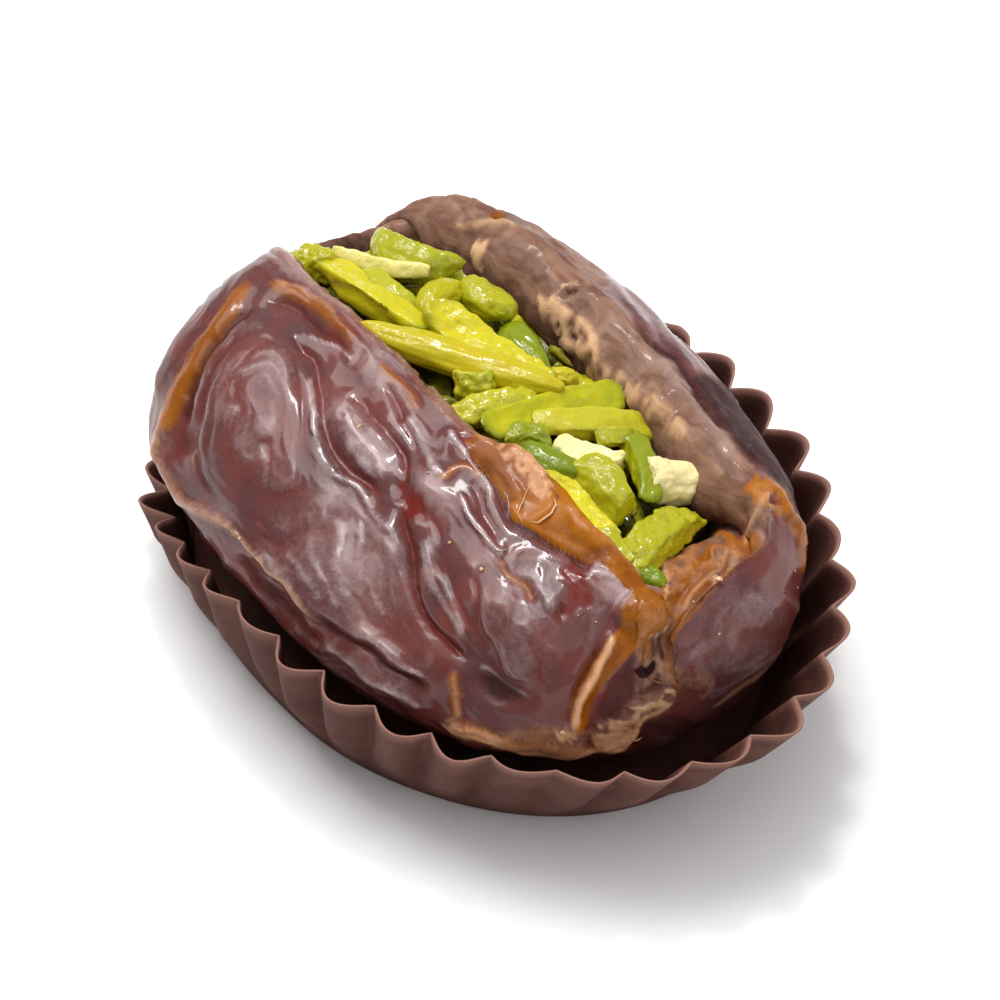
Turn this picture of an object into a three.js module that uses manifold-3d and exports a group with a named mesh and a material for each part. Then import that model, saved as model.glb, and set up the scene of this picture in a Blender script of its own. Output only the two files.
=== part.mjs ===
// A stuffed date in its fluted paper case: the slit date, the heap of pistachio slivers in it, and the case.
// Millimetres, +Z up. The origin is the middle of the case's flat underside. +X runs along the date to its
// near end, +Y to the low lip of the slit, and the slit opens upward.
import * as THREE from "three";
import { ParametricGeometry } from "three/addons/geometries/ParametricGeometry.js";
import { mergeVertices } from "three/addons/utils/BufferGeometryUtils.js";
import Module from "manifold-3d";

// The date
const FAR_REACH = 23.6;
const NEAR_REACH = 22.8;
const DATE_WIDTH = 35;
const DATE_HEIGHT = 19.6;
const FLESH = 4.4;
const LEFT_LIP_FLESH = 3.2;
const RIGHT_LIP_FLESH = 5.2;
const SOLID_END = 5;
const FAR_BLUNTNESS = 0.38;
const NEAR_BLUNTNESS = 0.72;
const HEIGHT_BLUNTNESS = 0.8;
const LIP_ROUNDING = 0.34;
const NOTCH_DEPTH = 1.4;
const NOTCH_MARGIN = 0.12;
const HOLLOW_SHARE = 0.2;
const TIP_RELIEF_GROWTH = 1.5;

// The far half of the right wall is lifted, more and more from one angle of the section to another.
const RIGHT_WALL = { lift: 2.4, fromAngle: 80, overAngle: 54, nearEnd: 0.2 };

// The fluted case
const PAPER = 0.3;
const CLEARANCE = 0.35;
const FLUTES = 34;
const FLUTE_DEPTH = 1.5;
const FLUTE_MIDDLE = 0.25;
const RIM_LENGTH = 57.2;
const RIM_WIDTH = 38.6;
const RIM_HEIGHT = 10.4;
const RIGHT_RIM_RISE = 0.45;
const FAR_RIM_DROP = 0.52;
const RIM_SHIFT = -0.2;
const BASE_LENGTH = 43.6;
const BASE_WIDTH = 33.8;
const BASE_SHIFT = -0.8;
const FAR_SQUARENESS = 2.35;
const NEAR_SQUARENESS = 1.97;
const SQUARENESS_SPREAD = [-0.4, 0.6];

// Unevenness of the rim and the flutes: how many waves go round, how high or strong, and where they start.
const RIM_WAVE = { count: 3, height: 0.4, start: 0.6 };
const LOBE_HEIGHT = 0.3;
const UNEVEN_FLUTES = [{ count: 5, share: 0.25, start: 1 }, { count: 13, share: 0.2, start: 0 }];
const FLUTES_FULL_AT = 0.55;
const LOW_RIM_SPREAD = [-0.1, 0.95];
const LOWEST_RIM_TURN = 0.08;
const SIDE_FLARE = 0.9;

// The pistachio heap
const SLIVER_LENGTH = 10.5;
const SLIVER_WIDTH = 2.9;
const SLIVER_DEPTH = 2.1;
const SLIVER_ROWS_ACROSS = [0.14, 0.42, 0.7, 0.93];
const SLIVER_PITCH = 3.4;
const SLIVER_SHIFT = 1.6;
const SLIVER_SIDEWAYS = 0.05;
const SLIVER_SIZES = [0.7, 1.2];
const SLIVER_WIDTHS = [0.8, 1.2];
const SLIVER_ROLL = 40;
const SLIVER_TILT = 12;
const SLIVER_TURN = 38;
const SLIVER_BURIAL = 0.35;
const HEAP_FROM = -18.5;
const HEAP_TO = 18;
const HEAP_CROWN = 1.1;
const HEAP_UNDER_LEFT_LIP = 0.45;
const HEAP_UNDER_RIGHT_LIP = 0.75;
const CORE_DEPTH_BELOW_HEAP = 1.2;
const CORE_DEPTH = 10.8;
const CORE_OVERLAP = 0.1;
const CORE_END_GAP = 1.6;
const CORE_BLUNTNESS = 0.3;
const CORE_TOP = 0.12;
const HEAP_SEED = 29;

// Mesh densities
const DATE_ROWS = 36;
const LOOP_STEPS = { outer: 44, lip: 4, inner: 16 };
const STEPS_PER_FLUTE = 6;
const CORE_ROWS = 16;
const CORE_POINTS = 14;
const FINE_STEPS = 4000;

// Small uneven swells that run slantwise over all the skin.
const SWELLS = { height: 0.22, alongX: 0.61, alongAngle: 0.05, acrossAngle: 0.085, acrossX: -0.21 };

const BOTTOM = PAPER + CLEARANCE;
const MIDDLE = BOTTOM + DATE_HEIGHT / 2;
const MEAN_RADIUS = (DATE_WIDTH + DATE_HEIGHT) / 4;

const radians = THREE.MathUtils.degToRad;
const { clamp, lerp, smoothstep } = THREE.MathUtils;

// The angle between each lip and the top of the section, in degrees, at stations from far (-1) to near (1).
const LEFT_LIP = { stations: [-1, -0.5, 0.2, 0.6, 0.85, 1], angles: [11, 11, 13, 12, 40, 44] };
const RIGHT_LIP = { stations: [-1, -0.7, -0.3, 0.3, 0.6, 0.8, 1], angles: [75, 61, 50, 48, 44, -10, -38] };

// Folds and swells of the skin. Each follows a line of (x in mm, angle in degrees from the underside, left
// negative) and stands proud by its height, or sinks where that is negative, over its width in mm.
const FOLDS = [
  { name: "far band", line: [[-20, -164], [-20.5, -135], [-20, -112]], height: 0.8, width: 1.8 },
  { name: "far pillow", line: [[-14, -138], [-8, -120]], height: 1.0, width: 6 },
  { name: "pillow valley", line: [[-15, -160], [-5, -152], [1, -134]], height: -0.9, width: 1.7 },
  { name: "branch valley", line: [[0, -150], [3, -128], [9, -112]], height: -1.2, width: 1.9 },
  { name: "middle swell", line: [[4, -152], [14, -136]], height: 0.9, width: 3.4 },
  { name: "near valley", line: [[6, -144], [17, -116]], height: -0.9, width: 1.8 },
  { name: "low swell", line: [[-4, -106], [10, -100]], height: 0.6, width: 2.6 },
  { name: "near ridge", line: [[16, -158], [18.5, -125], [17, -82]], height: 1.3, width: 1.6 },
  { name: "left border", line: [[-17, -94], [0, -86], [16, -80]], height: 0.7, width: 2 },
  { name: "left under fold", line: [[-17, -66], [2, -58], [15, -60]], height: -1.1, width: 2.1 },
  { name: "belly fold", line: [[-14, -28], [0, -18], [14, -30]], height: -0.6, width: 2.4 },
  { name: "right under fold", line: [[-16, 42], [0, 48], [15, 40]], height: -1.1, width: 2.1 },
  { name: "right low swell", line: [[-12, 66], [10, 70]], height: 0.5, width: 3 },
  { name: "right middle fold", line: [[-19, 92], [-3, 88], [12, 98]], height: -1.1, width: 1.8 },
  { name: "right high swell", line: [[-16, 110], [4, 112]], height: 0.6, width: 2.6 },
  { name: "right rear fold", line: [[-21, 60], [-20, 108]], height: -0.8, width: 1.8 },
  { name: "near lobe", line: [[14, 128], [18, 150]], height: 1.5, width: 6 },
  { name: "near under hollow", line: [[17, -44], [19.5, -8], [17.5, 36]], height: -1.4, width: 4.5 },
  { name: "far lobe", line: [[-17, 122], [-12, 124]], height: 0.6, width: 4 },
];

/** A value that passes smoothly through the values given at rising stations. */
function through(stations, values, at) {
  const last = stations.length - 2;
  let i = 0;
  while (i < last && at > stations[i + 1]) {
    i += 1;
  }
  const t = smoothstep(at, stations[i], stations[i + 1]);
  return lerp(values[i], values[i + 1], t);
}

/** The distance from a point to a chain of straight stretches, all in the flat of the unrolled skin. */
function distanceToLine(x, y, points) {
  let nearest = Infinity;
  for (let i = 0; i + 1 < points.length; i += 1) {
    const [ax, ay] = points[i];
    const [bx, by] = points[i + 1];
    const along = ((x - ax) * (bx - ax) + (y - ay) * (by - ay)) / ((bx - ax) ** 2 + (by - ay) ** 2);
    const t = clamp(along, 0, 1);
    nearest = Math.min(nearest, Math.hypot(x - lerp(ax, bx, t), y - lerp(ay, by, t)));
  }
  return nearest;
}

const DEGREE = radians(1) * MEAN_RADIUS;
const UNROLLED_FOLDS = FOLDS.map((fold) => ({
  ...fold,
  line: fold.line.map(([x, angle]) => [x, angle * DEGREE]),
}));

/** How far the skin stands proud of the bare form. */
function relief(x, angle) {
  let height = 0;
  for (const fold of UNROLLED_FOLDS) {
    const off = distanceToLine(x, angle * DEGREE, fold.line) / fold.width;
    height += fold.height * Math.exp(-off * off);
  }
  const along = Math.sin(x * SWELLS.alongX + angle * SWELLS.alongAngle);
  const across = Math.sin(angle * SWELLS.acrossAngle + x * SWELLS.acrossX);
  return height + SWELLS.height * along * across;
}

/** Places along the date, from -1 at its far tip to 1 at its near tip, spread evenly over the skin. */
function evenStations(count) {
  const run = [0];
  let before = bareSection(-1);
  for (let i = 1; i <= FINE_STEPS; i += 1) {
    const now = bareSection((2 * i) / FINE_STEPS - 1);
    run.push(run[i - 1] + Math.hypot(now.x - before.x, now.halfWidth - before.halfWidth));
    before = now;
  }
  const stations = [];
  for (let k = 0; k <= count; k += 1) {
    const wanted = (run[FINE_STEPS] * k) / count;
    const i = clamp(run.findIndex((length) => length >= wanted), 1, FINE_STEPS);
    const part = (wanted - run[i - 1]) / (run[i] - run[i - 1]);
    stations.push((2 * (i - 1 + part)) / FINE_STEPS - 1);
  }
  return stations;
}

/** The bare cross-section at a place u: where it is along X, and its two half sizes. */
function bareSection(u) {
  const turn = radians(90 * u);
  const bluntness = u < 0 ? FAR_BLUNTNESS : NEAR_BLUNTNESS;
  const fullness = Math.abs(u) < 1 ? Math.cos(turn) ** bluntness : 0;
  return {
    x: (u < 0 ? FAR_REACH : NEAR_REACH) * Math.sin(turn),
    fullness,
    halfWidth: (DATE_WIDTH / 2) * fullness,
    halfHeight: (DATE_HEIGHT / 2) * fullness ** HEIGHT_BLUNTNESS,
  };
}

/** The place u, from -1 to 1, that lies at x. */
function placeAt(x) {
  return Math.asin(clamp(x / (x < 0 ? FAR_REACH : NEAR_REACH), -1, 1)) / (Math.PI / 2);
}

/** How far the right wall is lifted at an angle of the section at u. */
function wallLift(u, angle, fullness) {
  const up = clamp((angle - RIGHT_WALL.fromAngle) / RIGHT_WALL.overAngle, 0, 1);
  const towardsFar = clamp(RIGHT_WALL.nearEnd - u, 0, 1);
  return RIGHT_WALL.lift * up * towardsFar * fullness;
}

/** A point of the skin or, with flesh taken off, of the hollow, as (y, z) in the section at u. */
function skinPoint(u, angle, inset = 0) {
  const { x, fullness, halfWidth, halfHeight } = bareSection(u);
  const raised = inset > 0 ? 0 : relief(x, angle) * Math.min(1, fullness * TIP_RELIEF_GROWTH);
  const a = radians(angle);
  const wide = Math.max(halfWidth - inset, halfWidth * HOLLOW_SHARE) + raised;
  const high = Math.max(halfHeight - inset, halfHeight * HOLLOW_SHARE) + raised;
  const lifted = wallLift(u, angle, fullness);
  return new THREE.Vector2(wide * Math.sin(a), MIDDLE - high * Math.cos(a) + lifted);
}

/** The closed outline of the section at u: skin, right lip, hollow, left lip. */
function sectionOutline(u) {
  const { x, fullness } = bareSection(u);
  const leftAngle = through(LEFT_LIP.stations, LEFT_LIP.angles, u) - 180;
  const rightAngle = 180 - through(RIGHT_LIP.stations, RIGHT_LIP.angles, u);
  const toTip = (x < 0 ? FAR_REACH : NEAR_REACH) - Math.abs(x);
  const open = smoothstep(toTip, 1, 1 + SOLID_END);
  const leftTop = skinPoint(u, leftAngle);
  const rightTop = skinPoint(u, rightAngle);
  const notch = new THREE.Vector2(0, -NOTCH_DEPTH * fullness);

  const hollow = (part) => {
    const angle = lerp(rightAngle, leftAngle, part);
    const lipFlesh = part < 0.5 ? RIGHT_LIP_FLESH : LEFT_LIP_FLESH;
    const flesh = lerp(FLESH, lipFlesh, Math.abs(2 * part - 1) ** 2);
    const inner = skinPoint(u, angle, flesh);
    const across = rightTop.clone().lerp(leftTop, lerp(NOTCH_MARGIN, 1 - NOTCH_MARGIN, part)).add(notch);
    return across.lerp(inner, open);
  };
  const lip = (from, to, part) => {
    const half = to.clone().sub(from).multiplyScalar(0.5);
    const out = new THREE.Vector2(half.y, -half.x).multiplyScalar(2 * LIP_ROUNDING);
    const turn = Math.PI * part;
    const place = from.clone().add(half);
    return place.addScaledVector(half, -Math.cos(turn)).addScaledVector(out, Math.sin(turn));
  };

  const points = [];
  for (let i = 0; i <= LOOP_STEPS.outer; i += 1) {
    points.push(skinPoint(u, lerp(leftAngle, rightAngle, i / LOOP_STEPS.outer)));
  }
  for (let i = 1; i < LOOP_STEPS.lip; i += 1) {
    points.push(lip(rightTop, hollow(0), i / LOOP_STEPS.lip));
  }
  for (let i = 0; i <= LOOP_STEPS.inner; i += 1) {
    points.push(hollow(i / LOOP_STEPS.inner));
  }
  for (let i = 1; i < LOOP_STEPS.lip; i += 1) {
    points.push(lip(hollow(1), leftTop, i / LOOP_STEPS.lip));
  }
  return points.map((point) => new THREE.Vector3(x, point.x, point.y));
}

/** Merges the shared corners of a shape and drops triangles that have shrunk to a line. */
function closed(geometry) {
  geometry.deleteAttribute("normal");
  geometry.deleteAttribute("uv");
  const merged = mergeVertices(geometry);
  const kept = [];
  const corners = merged.index.array;
  for (let i = 0; i < corners.length; i += 3) {
    const [a, b, c] = corners.slice(i, i + 3);
    if (a !== b && b !== c && c !== a) {
      kept.push(a, b, c);
    }
  }
  merged.setIndex(kept);
  return merged;
}

/** A closed skin through outlines of equal length, each a loop, that shrink to a point at both ends. */
function skinOver(outlines) {
  const around = outlines[0].length;
  const along = outlines.length - 1;
  const shape = (u, v, target) => {
    target.copy(outlines[Math.round(v * along)][Math.round(u * around) % around]);
  };
  return closed(new ParametricGeometry(shape, around, along));
}

/** The slit date: flesh all round a long hollow, its two lips, and solid flesh at both tips. */
function dateGeometry() {
  return skinOver(evenStations(DATE_ROWS).map(sectionOutline));
}

/** The same shape with every corner moved outward, which is what its neighbour is cut by. */
function grown(geometry, distance) {
  const bigger = geometry.clone();
  bigger.computeVertexNormals();
  const { position, normal } = bigger.attributes;
  const corner = new THREE.Vector3();
  const way = new THREE.Vector3();
  for (let i = 0; i < position.count; i += 1) {
    corner.fromBufferAttribute(position, i);
    way.fromBufferAttribute(normal, i);
    corner.addScaledVector(way, distance);
    position.setXYZ(i, corner.x, corner.y, corner.z);
  }
  bigger.deleteAttribute("normal");
  return bigger;
}

/** How far along the case's half length and half width a turn lies; the oval is fuller at the far end. */
function ovalPlace(turn) {
  const nearness = smoothstep(Math.cos(turn), ...SQUARENESS_SPREAD);
  const power = 2 / lerp(FAR_SQUARENESS, NEAR_SQUARENESS, nearness);
  return [Math.cos(turn), Math.sin(turn)].map((value) => Math.sign(value) * Math.abs(value) ** power);
}

/** Turns round the case that part its rim into stretches of equal length. */
function evenTurns(count) {
  const turns = [];
  let run = 0;
  const runs = [0];
  for (let i = 1; i <= FINE_STEPS; i += 1) {
    const [before, now] = [i - 1, i].map((k) => ovalPlace((2 * Math.PI * k) / FINE_STEPS));
    run += Math.hypot((RIM_LENGTH / 2) * (now[0] - before[0]), (RIM_WIDTH / 2) * (now[1] - before[1]));
    runs.push(run);
  }
  for (let k = 0, i = 0; k < count; k += 1) {
    while (runs[i] < (run * k) / count) {
      i += 1;
    }
    turns.push((2 * Math.PI * i) / FINE_STEPS);
  }
  return turns;
}

const CASE_TURNS = evenTurns(FLUTES * STEPS_PER_FLUTE);

/** A point of the case's wall, from its column round the case, its rise, and a push outward. */
function casePoint(column, rise, outward) {
  const turn = CASE_TURNS[column];
  const part = (2 * Math.PI * column) / CASE_TURNS.length;
  const farness = smoothstep(-Math.cos(turn - LOWEST_RIM_TURN), ...LOW_RIM_SPREAD);
  const lobe = Math.abs(Math.sin((part * FLUTES) / 2));
  let uneven = 1;
  for (const { count, share, start } of UNEVEN_FLUTES) {
    uneven += share * Math.sin(part * count + start);
  }
  const flute = FLUTE_DEPTH * uneven * (lobe - FLUTE_MIDDLE) * smoothstep(rise, 0, FLUTES_FULL_AT);
  const flare = rise * (1 - FAR_RIM_DROP * farness);
  const slow = RIM_WAVE.height * Math.sin(part * RIM_WAVE.count + RIM_WAVE.start);
  const wave = rise * (slow + LOBE_HEIGHT * lobe + RIGHT_RIM_RISE * Math.sin(turn));
  const halfLength = lerp(BASE_LENGTH, RIM_LENGTH, flare) / 2 + flute + outward;
  const halfWidth = lerp(BASE_WIDTH, RIM_WIDTH, flare ** SIDE_FLARE) / 2 + flute + outward;
  const [along, across] = ovalPlace(turn);
  return new THREE.Vector3(
    lerp(BASE_SHIFT, RIM_SHIFT, rise) + halfLength * along,
    halfWidth * across,
    flare * RIM_HEIGHT + wave,
  );
}

/** The fluted paper case: a flat oval base and a flared wall of one paper thickness. */
function caseGeometry() {
  const rises = [0, 0.3, 0.65, 1];
  const middle = (height) => () => new THREE.Vector3(BASE_SHIFT, 0, height);
  const outside = rises.map((rise) => (column) => casePoint(column, rise, 0));
  const inside = rises.map((rise) => (column) => {
    const point = casePoint(column, rise, -PAPER);
    point.z = Math.max(point.z, PAPER);
    return point;
  });
  const rings = [middle(0), ...outside, ...inside.reverse(), middle(PAPER)];
  const around = CASE_TURNS.length;
  const along = rings.length - 1;
  const shape = (u, v, target) => {
    target.copy(rings[Math.round(v * along)](Math.round(u * around) % around));
  };
  return closed(new ParametricGeometry(shape, around, along));
}

/** A repeatable row of draws between 0 and 1. */
function drawsFrom(seed) {
  let state = seed;
  return () => {
    state = (state * 16807) % 2147483647;
    return state / 2147483647;
  };
}

/** The top of the heap between the lips, as a point of its surface. */
function heapPoint(x, across) {
  const u = placeAt(x);
  const leftAngle = through(LEFT_LIP.stations, LEFT_LIP.angles, u) - 180;
  const rightAngle = 180 - through(RIGHT_LIP.stations, RIGHT_LIP.angles, u);
  const left = skinPoint(u, leftAngle, LEFT_LIP_FLESH * HEAP_UNDER_LEFT_LIP);
  const right = skinPoint(u, rightAngle, RIGHT_LIP_FLESH * HEAP_UNDER_RIGHT_LIP);
  const point = left.lerp(right, across);
  const crown = HEAP_CROWN * Math.sin(Math.PI * across);
  return new THREE.Vector3(x, point.x, point.y + crown);
}

/** One sliver: long, six-sided and pointed at both ends. */
function sliverGeometry(length, width, depth) {
  const shape = new THREE.SphereGeometry(0.5, 6, 3);
  shape.rotateZ(Math.PI / 2);
  shape.scale(length, width, depth);
  return shape;
}

/** The core of the heap, which fills the hollow to just under the slivers. */
function coreGeometry() {
  const ends = NEAR_REACH - CORE_END_GAP;
  const outlines = [];
  for (let k = 0; k <= CORE_ROWS; k += 1) {
    const x = -ends * Math.cos((Math.PI * k) / CORE_ROWS);
    const fullness = k > 0 && k < CORE_ROWS ? Math.sin((Math.PI * k) / CORE_ROWS) ** CORE_BLUNTNESS : 0;
    const left = heapPoint(x, -CORE_OVERLAP);
    const right = heapPoint(x, 1 + CORE_OVERLAP);
    const centre = left.clone().lerp(right, 0.5);
    const outline = [];
    for (let i = 0; i < CORE_POINTS; i += 1) {
      const turn = (2 * Math.PI * i) / CORE_POINTS;
      const sideways = Math.abs(Math.cos(turn)) * fullness;
      const downward = Math.max(Math.sin(turn), -CORE_TOP) * CORE_DEPTH * fullness;
      const point = centre.clone().lerp(Math.cos(turn) > 0 ? left : right, sideways);
      point.z -= CORE_DEPTH_BELOW_HEAP + downward;
      outline.push(point);
    }
    outlines.push(outline);
  }
  return skinOver(outlines);
}

const wasm = await Module();
wasm.setup();

/** A solid that can be joined and cut, from a closed shape. */
function solidOf(geometry) {
  const merged = closed(geometry.clone());
  return new wasm.Manifold(
    new wasm.Mesh({
      numProp: 3,
      vertProperties: new Float32Array(merged.attributes.position.array),
      triVerts: new Uint32Array(merged.index.array),
    }),
  );
}

/** The shape of a solid's largest body, which leaves out scraps that a cut set loose. */
function shapeOf(solid) {
  const bodies = solid.decompose().sort((a, b) => b.volume() - a.volume());
  const mesh = bodies[0].getMesh();
  const shape = new THREE.BufferGeometry();
  shape.setAttribute("position", new THREE.BufferAttribute(mesh.vertProperties, 3));
  shape.setIndex(new THREE.BufferAttribute(mesh.triVerts, 1));
  return shape;
}

/** The pistachio heap: slivers laid over the core between the lips, and trimmed clear of the flesh. */
function heapGeometry(date) {
  const draw = drawsFrom(HEAP_SEED);
  const between = (least, most) => lerp(least, most, draw());
  let heap = solidOf(coreGeometry());
  for (let x = HEAP_FROM; x <= HEAP_TO; x += SLIVER_PITCH) {
    for (const across of SLIVER_ROWS_ACROSS) {
      const length = SLIVER_LENGTH * between(...SLIVER_SIZES);
      const width = SLIVER_WIDTH * between(...SLIVER_WIDTHS);
      const sliver = sliverGeometry(length, width, SLIVER_DEPTH);
      sliver.rotateX(radians(between(-SLIVER_ROLL, SLIVER_ROLL)));
      sliver.rotateY(radians(between(-SLIVER_TILT, SLIVER_TILT)));
      sliver.rotateZ(radians(between(-SLIVER_TURN, SLIVER_TURN)));
      const place = heapPoint(x + SLIVER_SHIFT * draw(), across + between(-SLIVER_SIDEWAYS, SLIVER_SIDEWAYS));
      place.z += between(-SLIVER_BURIAL, SLIVER_BURIAL);
      sliver.translate(place.x, place.y, place.z);
      heap = heap.add(solidOf(sliver));
    }
  }
  return shapeOf(heap.subtract(solidOf(grown(date, CLEARANCE))));
}

/** A named mesh with a finish of its own. */
function piece(name, geometry, color, roughness) {
  const mesh = new THREE.Mesh(geometry, new THREE.MeshStandardMaterial({ color, roughness, metalness: 0 }));
  mesh.name = name;
  return mesh;
}

const date = dateGeometry();
const stuffedDate = new THREE.Group();
stuffedDate.add(piece("paper_case", caseGeometry(), 0x3b2925, 0.8));
stuffedDate.add(piece("date", date, 0x4f2620, 0.32));
stuffedDate.add(piece("pistachio_filling", heapGeometry(date), 0xa8b52b, 0.45));

export default stuffedDate;
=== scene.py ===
"""A slit date stuffed with pistachio slivers, in its fluted paper case.

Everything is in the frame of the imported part: metres, +Z up, +X along the date to its near end, +Y to the
low lip of the slit. Sizes are named in millimetres and become metres where a mesh is made. Places read from
the photograph are in its pixels, and the fitted view says where on the date they lie.
"""

import logging
import math
from collections.abc import Iterator, Sequence
from contextlib import contextmanager
from dataclasses import dataclass, field
from enum import Enum
from itertools import chain, product

import bpy
import numpy as np
from mathutils import Matrix, Vector
from mathutils.bvhtree import BVHTree

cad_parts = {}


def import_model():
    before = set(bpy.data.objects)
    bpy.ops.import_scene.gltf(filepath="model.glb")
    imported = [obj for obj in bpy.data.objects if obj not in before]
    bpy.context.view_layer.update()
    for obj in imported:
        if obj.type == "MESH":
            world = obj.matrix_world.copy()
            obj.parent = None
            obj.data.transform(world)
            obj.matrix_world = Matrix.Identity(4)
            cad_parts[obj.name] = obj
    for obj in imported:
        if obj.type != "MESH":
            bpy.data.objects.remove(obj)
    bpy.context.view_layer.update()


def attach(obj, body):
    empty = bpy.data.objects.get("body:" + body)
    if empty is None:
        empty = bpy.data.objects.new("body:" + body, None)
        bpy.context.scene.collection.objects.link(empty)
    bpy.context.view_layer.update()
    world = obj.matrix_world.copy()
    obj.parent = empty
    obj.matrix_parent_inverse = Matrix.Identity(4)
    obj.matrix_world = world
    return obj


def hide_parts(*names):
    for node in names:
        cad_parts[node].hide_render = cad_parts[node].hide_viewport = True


Array = np.ndarray
Pixel = tuple[float, float]
Span = tuple[float, float]
Colour = tuple[float, float, float]
Triple = tuple[float, float, float]
Bends = tuple[tuple[float, ...], tuple[float, ...]]

MM = 0.001
BODY = "root"
log = logging.getLogger("stuffed_date")


# Numbers


def smoothstep(value: Array, low: float, high: float) -> Array:
    """Passes smoothly from 0 where a value is at low to 1 where it is at high."""
    part = np.clip((value - low) / (high - low), 0.0, 1.0)
    return part * part * (3.0 - 2.0 * part)


def through(stations: Sequence[float], values: Sequence[float], at: Array) -> Array:
    """Passes smoothly through values at rising stations.

    Args:
        stations: The rising stations.
        values: The value at each station.
        at: Where the value is wanted.

    Returns:
        The value at each of those places.
    """
    stations, values = np.array(stations), np.array(values)
    index = np.clip(np.searchsorted(stations, at) - 1, 0, len(stations) - 2)
    part = smoothstep((at - stations[index]) / (stations[index + 1] - stations[index]), 0.0, 1.0)
    return mixed(values[index], values[index + 1], part)


def mixed(first: Array, second: Array, share: Array) -> Array:
    """The blend of two arrays, which is the second where the share is 1."""
    return first + (second - first) * share


def window(value: Array, rise: Span, fall: Span) -> Array:
    """Is 1 between a rise and a fall, each given by its start and its end, and 0 outside them."""
    return smoothstep(value, *rise) * (1.0 - smoothstep(value, *fall))


def bell(distance: Array, width: float) -> Array:
    """Falls from 1 where the distance is 0 to about a third at the width."""
    return np.exp(-((distance / width) ** 2))


def ridged(values: Array, sharpness: float) -> Array:
    """Turns noise into crests of height 1, the narrower the sharper."""
    return 1.0 - sharpness * np.abs(values)


def unit(ways: Array) -> Array:
    """The directions, (..., 3), each made 1 long."""
    return ways / np.linalg.norm(ways, axis=-1, keepdims=True)


def flat_points(points: Array) -> Array:
    """Points of a plane as points in space, (n, 3)."""
    return np.pad(points, ((0, 0), (0, 1)))


def two_paces(count: int, steps_share: float, way_share: float) -> Array:
    """Steps from 0 to 1, of which a first share covers its own share of the way, (1, count + 1)."""
    steps = np.linspace(0.0, 1.0, count + 1)
    return np.interp(steps, [0.0, steps_share, 1.0], [0.0, way_share, 1.0])[None, :]


def evenly_spread(values: Array, steps: Array, count: int) -> Array:
    """Picks values that part a run of small steps, from each value to the next, into equal stretches."""
    run = np.concatenate([[0.0], np.cumsum(steps)])
    return np.interp(np.linspace(0.0, run[-1], count + 1), run, values)


def smooth_line(points: Sequence[Pixel], steps: int = 4) -> Array:
    """Draws a smooth line through points in a plane.

    Args:
        points: The points in order.
        steps: How many stretches to put between two points.

    Returns:
        The points of the line, (n, 2).
    """
    given = np.array(points, float)
    padded = np.vstack([2 * given[0] - given[1], given, 2 * given[-1] - given[-2]])
    part = (np.arange(steps) / steps)[:, None]
    drawn = []
    for before, start, end, after in zip(padded, padded[1:], padded[2:], padded[3:]):
        curve = 2 * start + (end - before) * part
        curve = curve + (2 * before - 5 * start + 4 * end - after) * part**2
        curve = curve + (3 * start - before - 3 * end + after) * part**3
        drawn.append(curve / 2)
    return np.vstack([*drawn, given[-1:]])


def line_reach(points: Array, line: Array) -> tuple[Array, Array, Array]:
    """Measures points in a plane against a line.

    Args:
        points: The points, (n, 2).
        line: The points of the line, (m, 2).

    Returns:
        The distance to the line, the side (1 or -1), and the share of its length run at the nearest place.
    """
    best = np.full(len(points), np.inf)
    side = np.ones(len(points))
    run = np.zeros(len(points))
    lengths = np.linalg.norm(np.diff(line, axis=0), axis=1)
    before = np.concatenate([[0.0], np.cumsum(lengths)])
    for start, end, length, first in zip(line, line[1:], lengths, before):
        way = (end - start) / length
        off = points - start
        along = np.clip(off @ way, 0.0, length)
        rest = off - along[:, None] * way
        distance = np.hypot(rest[:, 0], rest[:, 1])
        nearer = distance < best
        best[nearer] = distance[nearer]
        side[nearer] = np.sign(way[0] * rest[nearer, 1] - way[1] * rest[nearer, 0] + 1e-9)
        run[nearer] = (first + along[nearer]) / before[-1]
    return best, side, run


class Noise:
    """Smooth noise over points in space, the same each run."""

    CELLS = 4096
    KEYS = np.array([73856093, 19349663, 83492791])

    def __init__(self, seed: int) -> None:
        """Draws the noise's table of values."""
        self.values = np.random.default_rng(seed).uniform(-1.0, 1.0, self.CELLS)

    def at(self, points: Array) -> Array:
        """Gives one layer of noise, from -1 to 1, with one cell for each unit of length.

        Args:
            points: The places, (..., 3).

        Returns:
            The value at each place.
        """
        cell = np.floor(points).astype(np.int64)
        part = points - cell
        part = part * part * (3.0 - 2.0 * part)
        total = np.zeros(points.shape[:-1])
        for corner in product((0, 1), repeat=3):
            key = (cell + corner) * self.KEYS
            index = (key[..., 0] ^ key[..., 1] ^ key[..., 2]) % self.CELLS
            weight = np.prod(np.where(corner, part, 1.0 - part), axis=-1)
            total = total + weight * self.values[index]
        return total

    def layered(self, points: Array, layers: int = 3) -> Array:
        """The sum of layers of noise, each half as strong and half as large as the one before."""
        return sum(self.at(points * 2**k + 17.3 * k) / 2**k for k in range(layers))


# Meshes


def deselect_all() -> None:
    """Leaves nothing selected."""
    bpy.ops.object.select_all(action="DESELECT")


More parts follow.
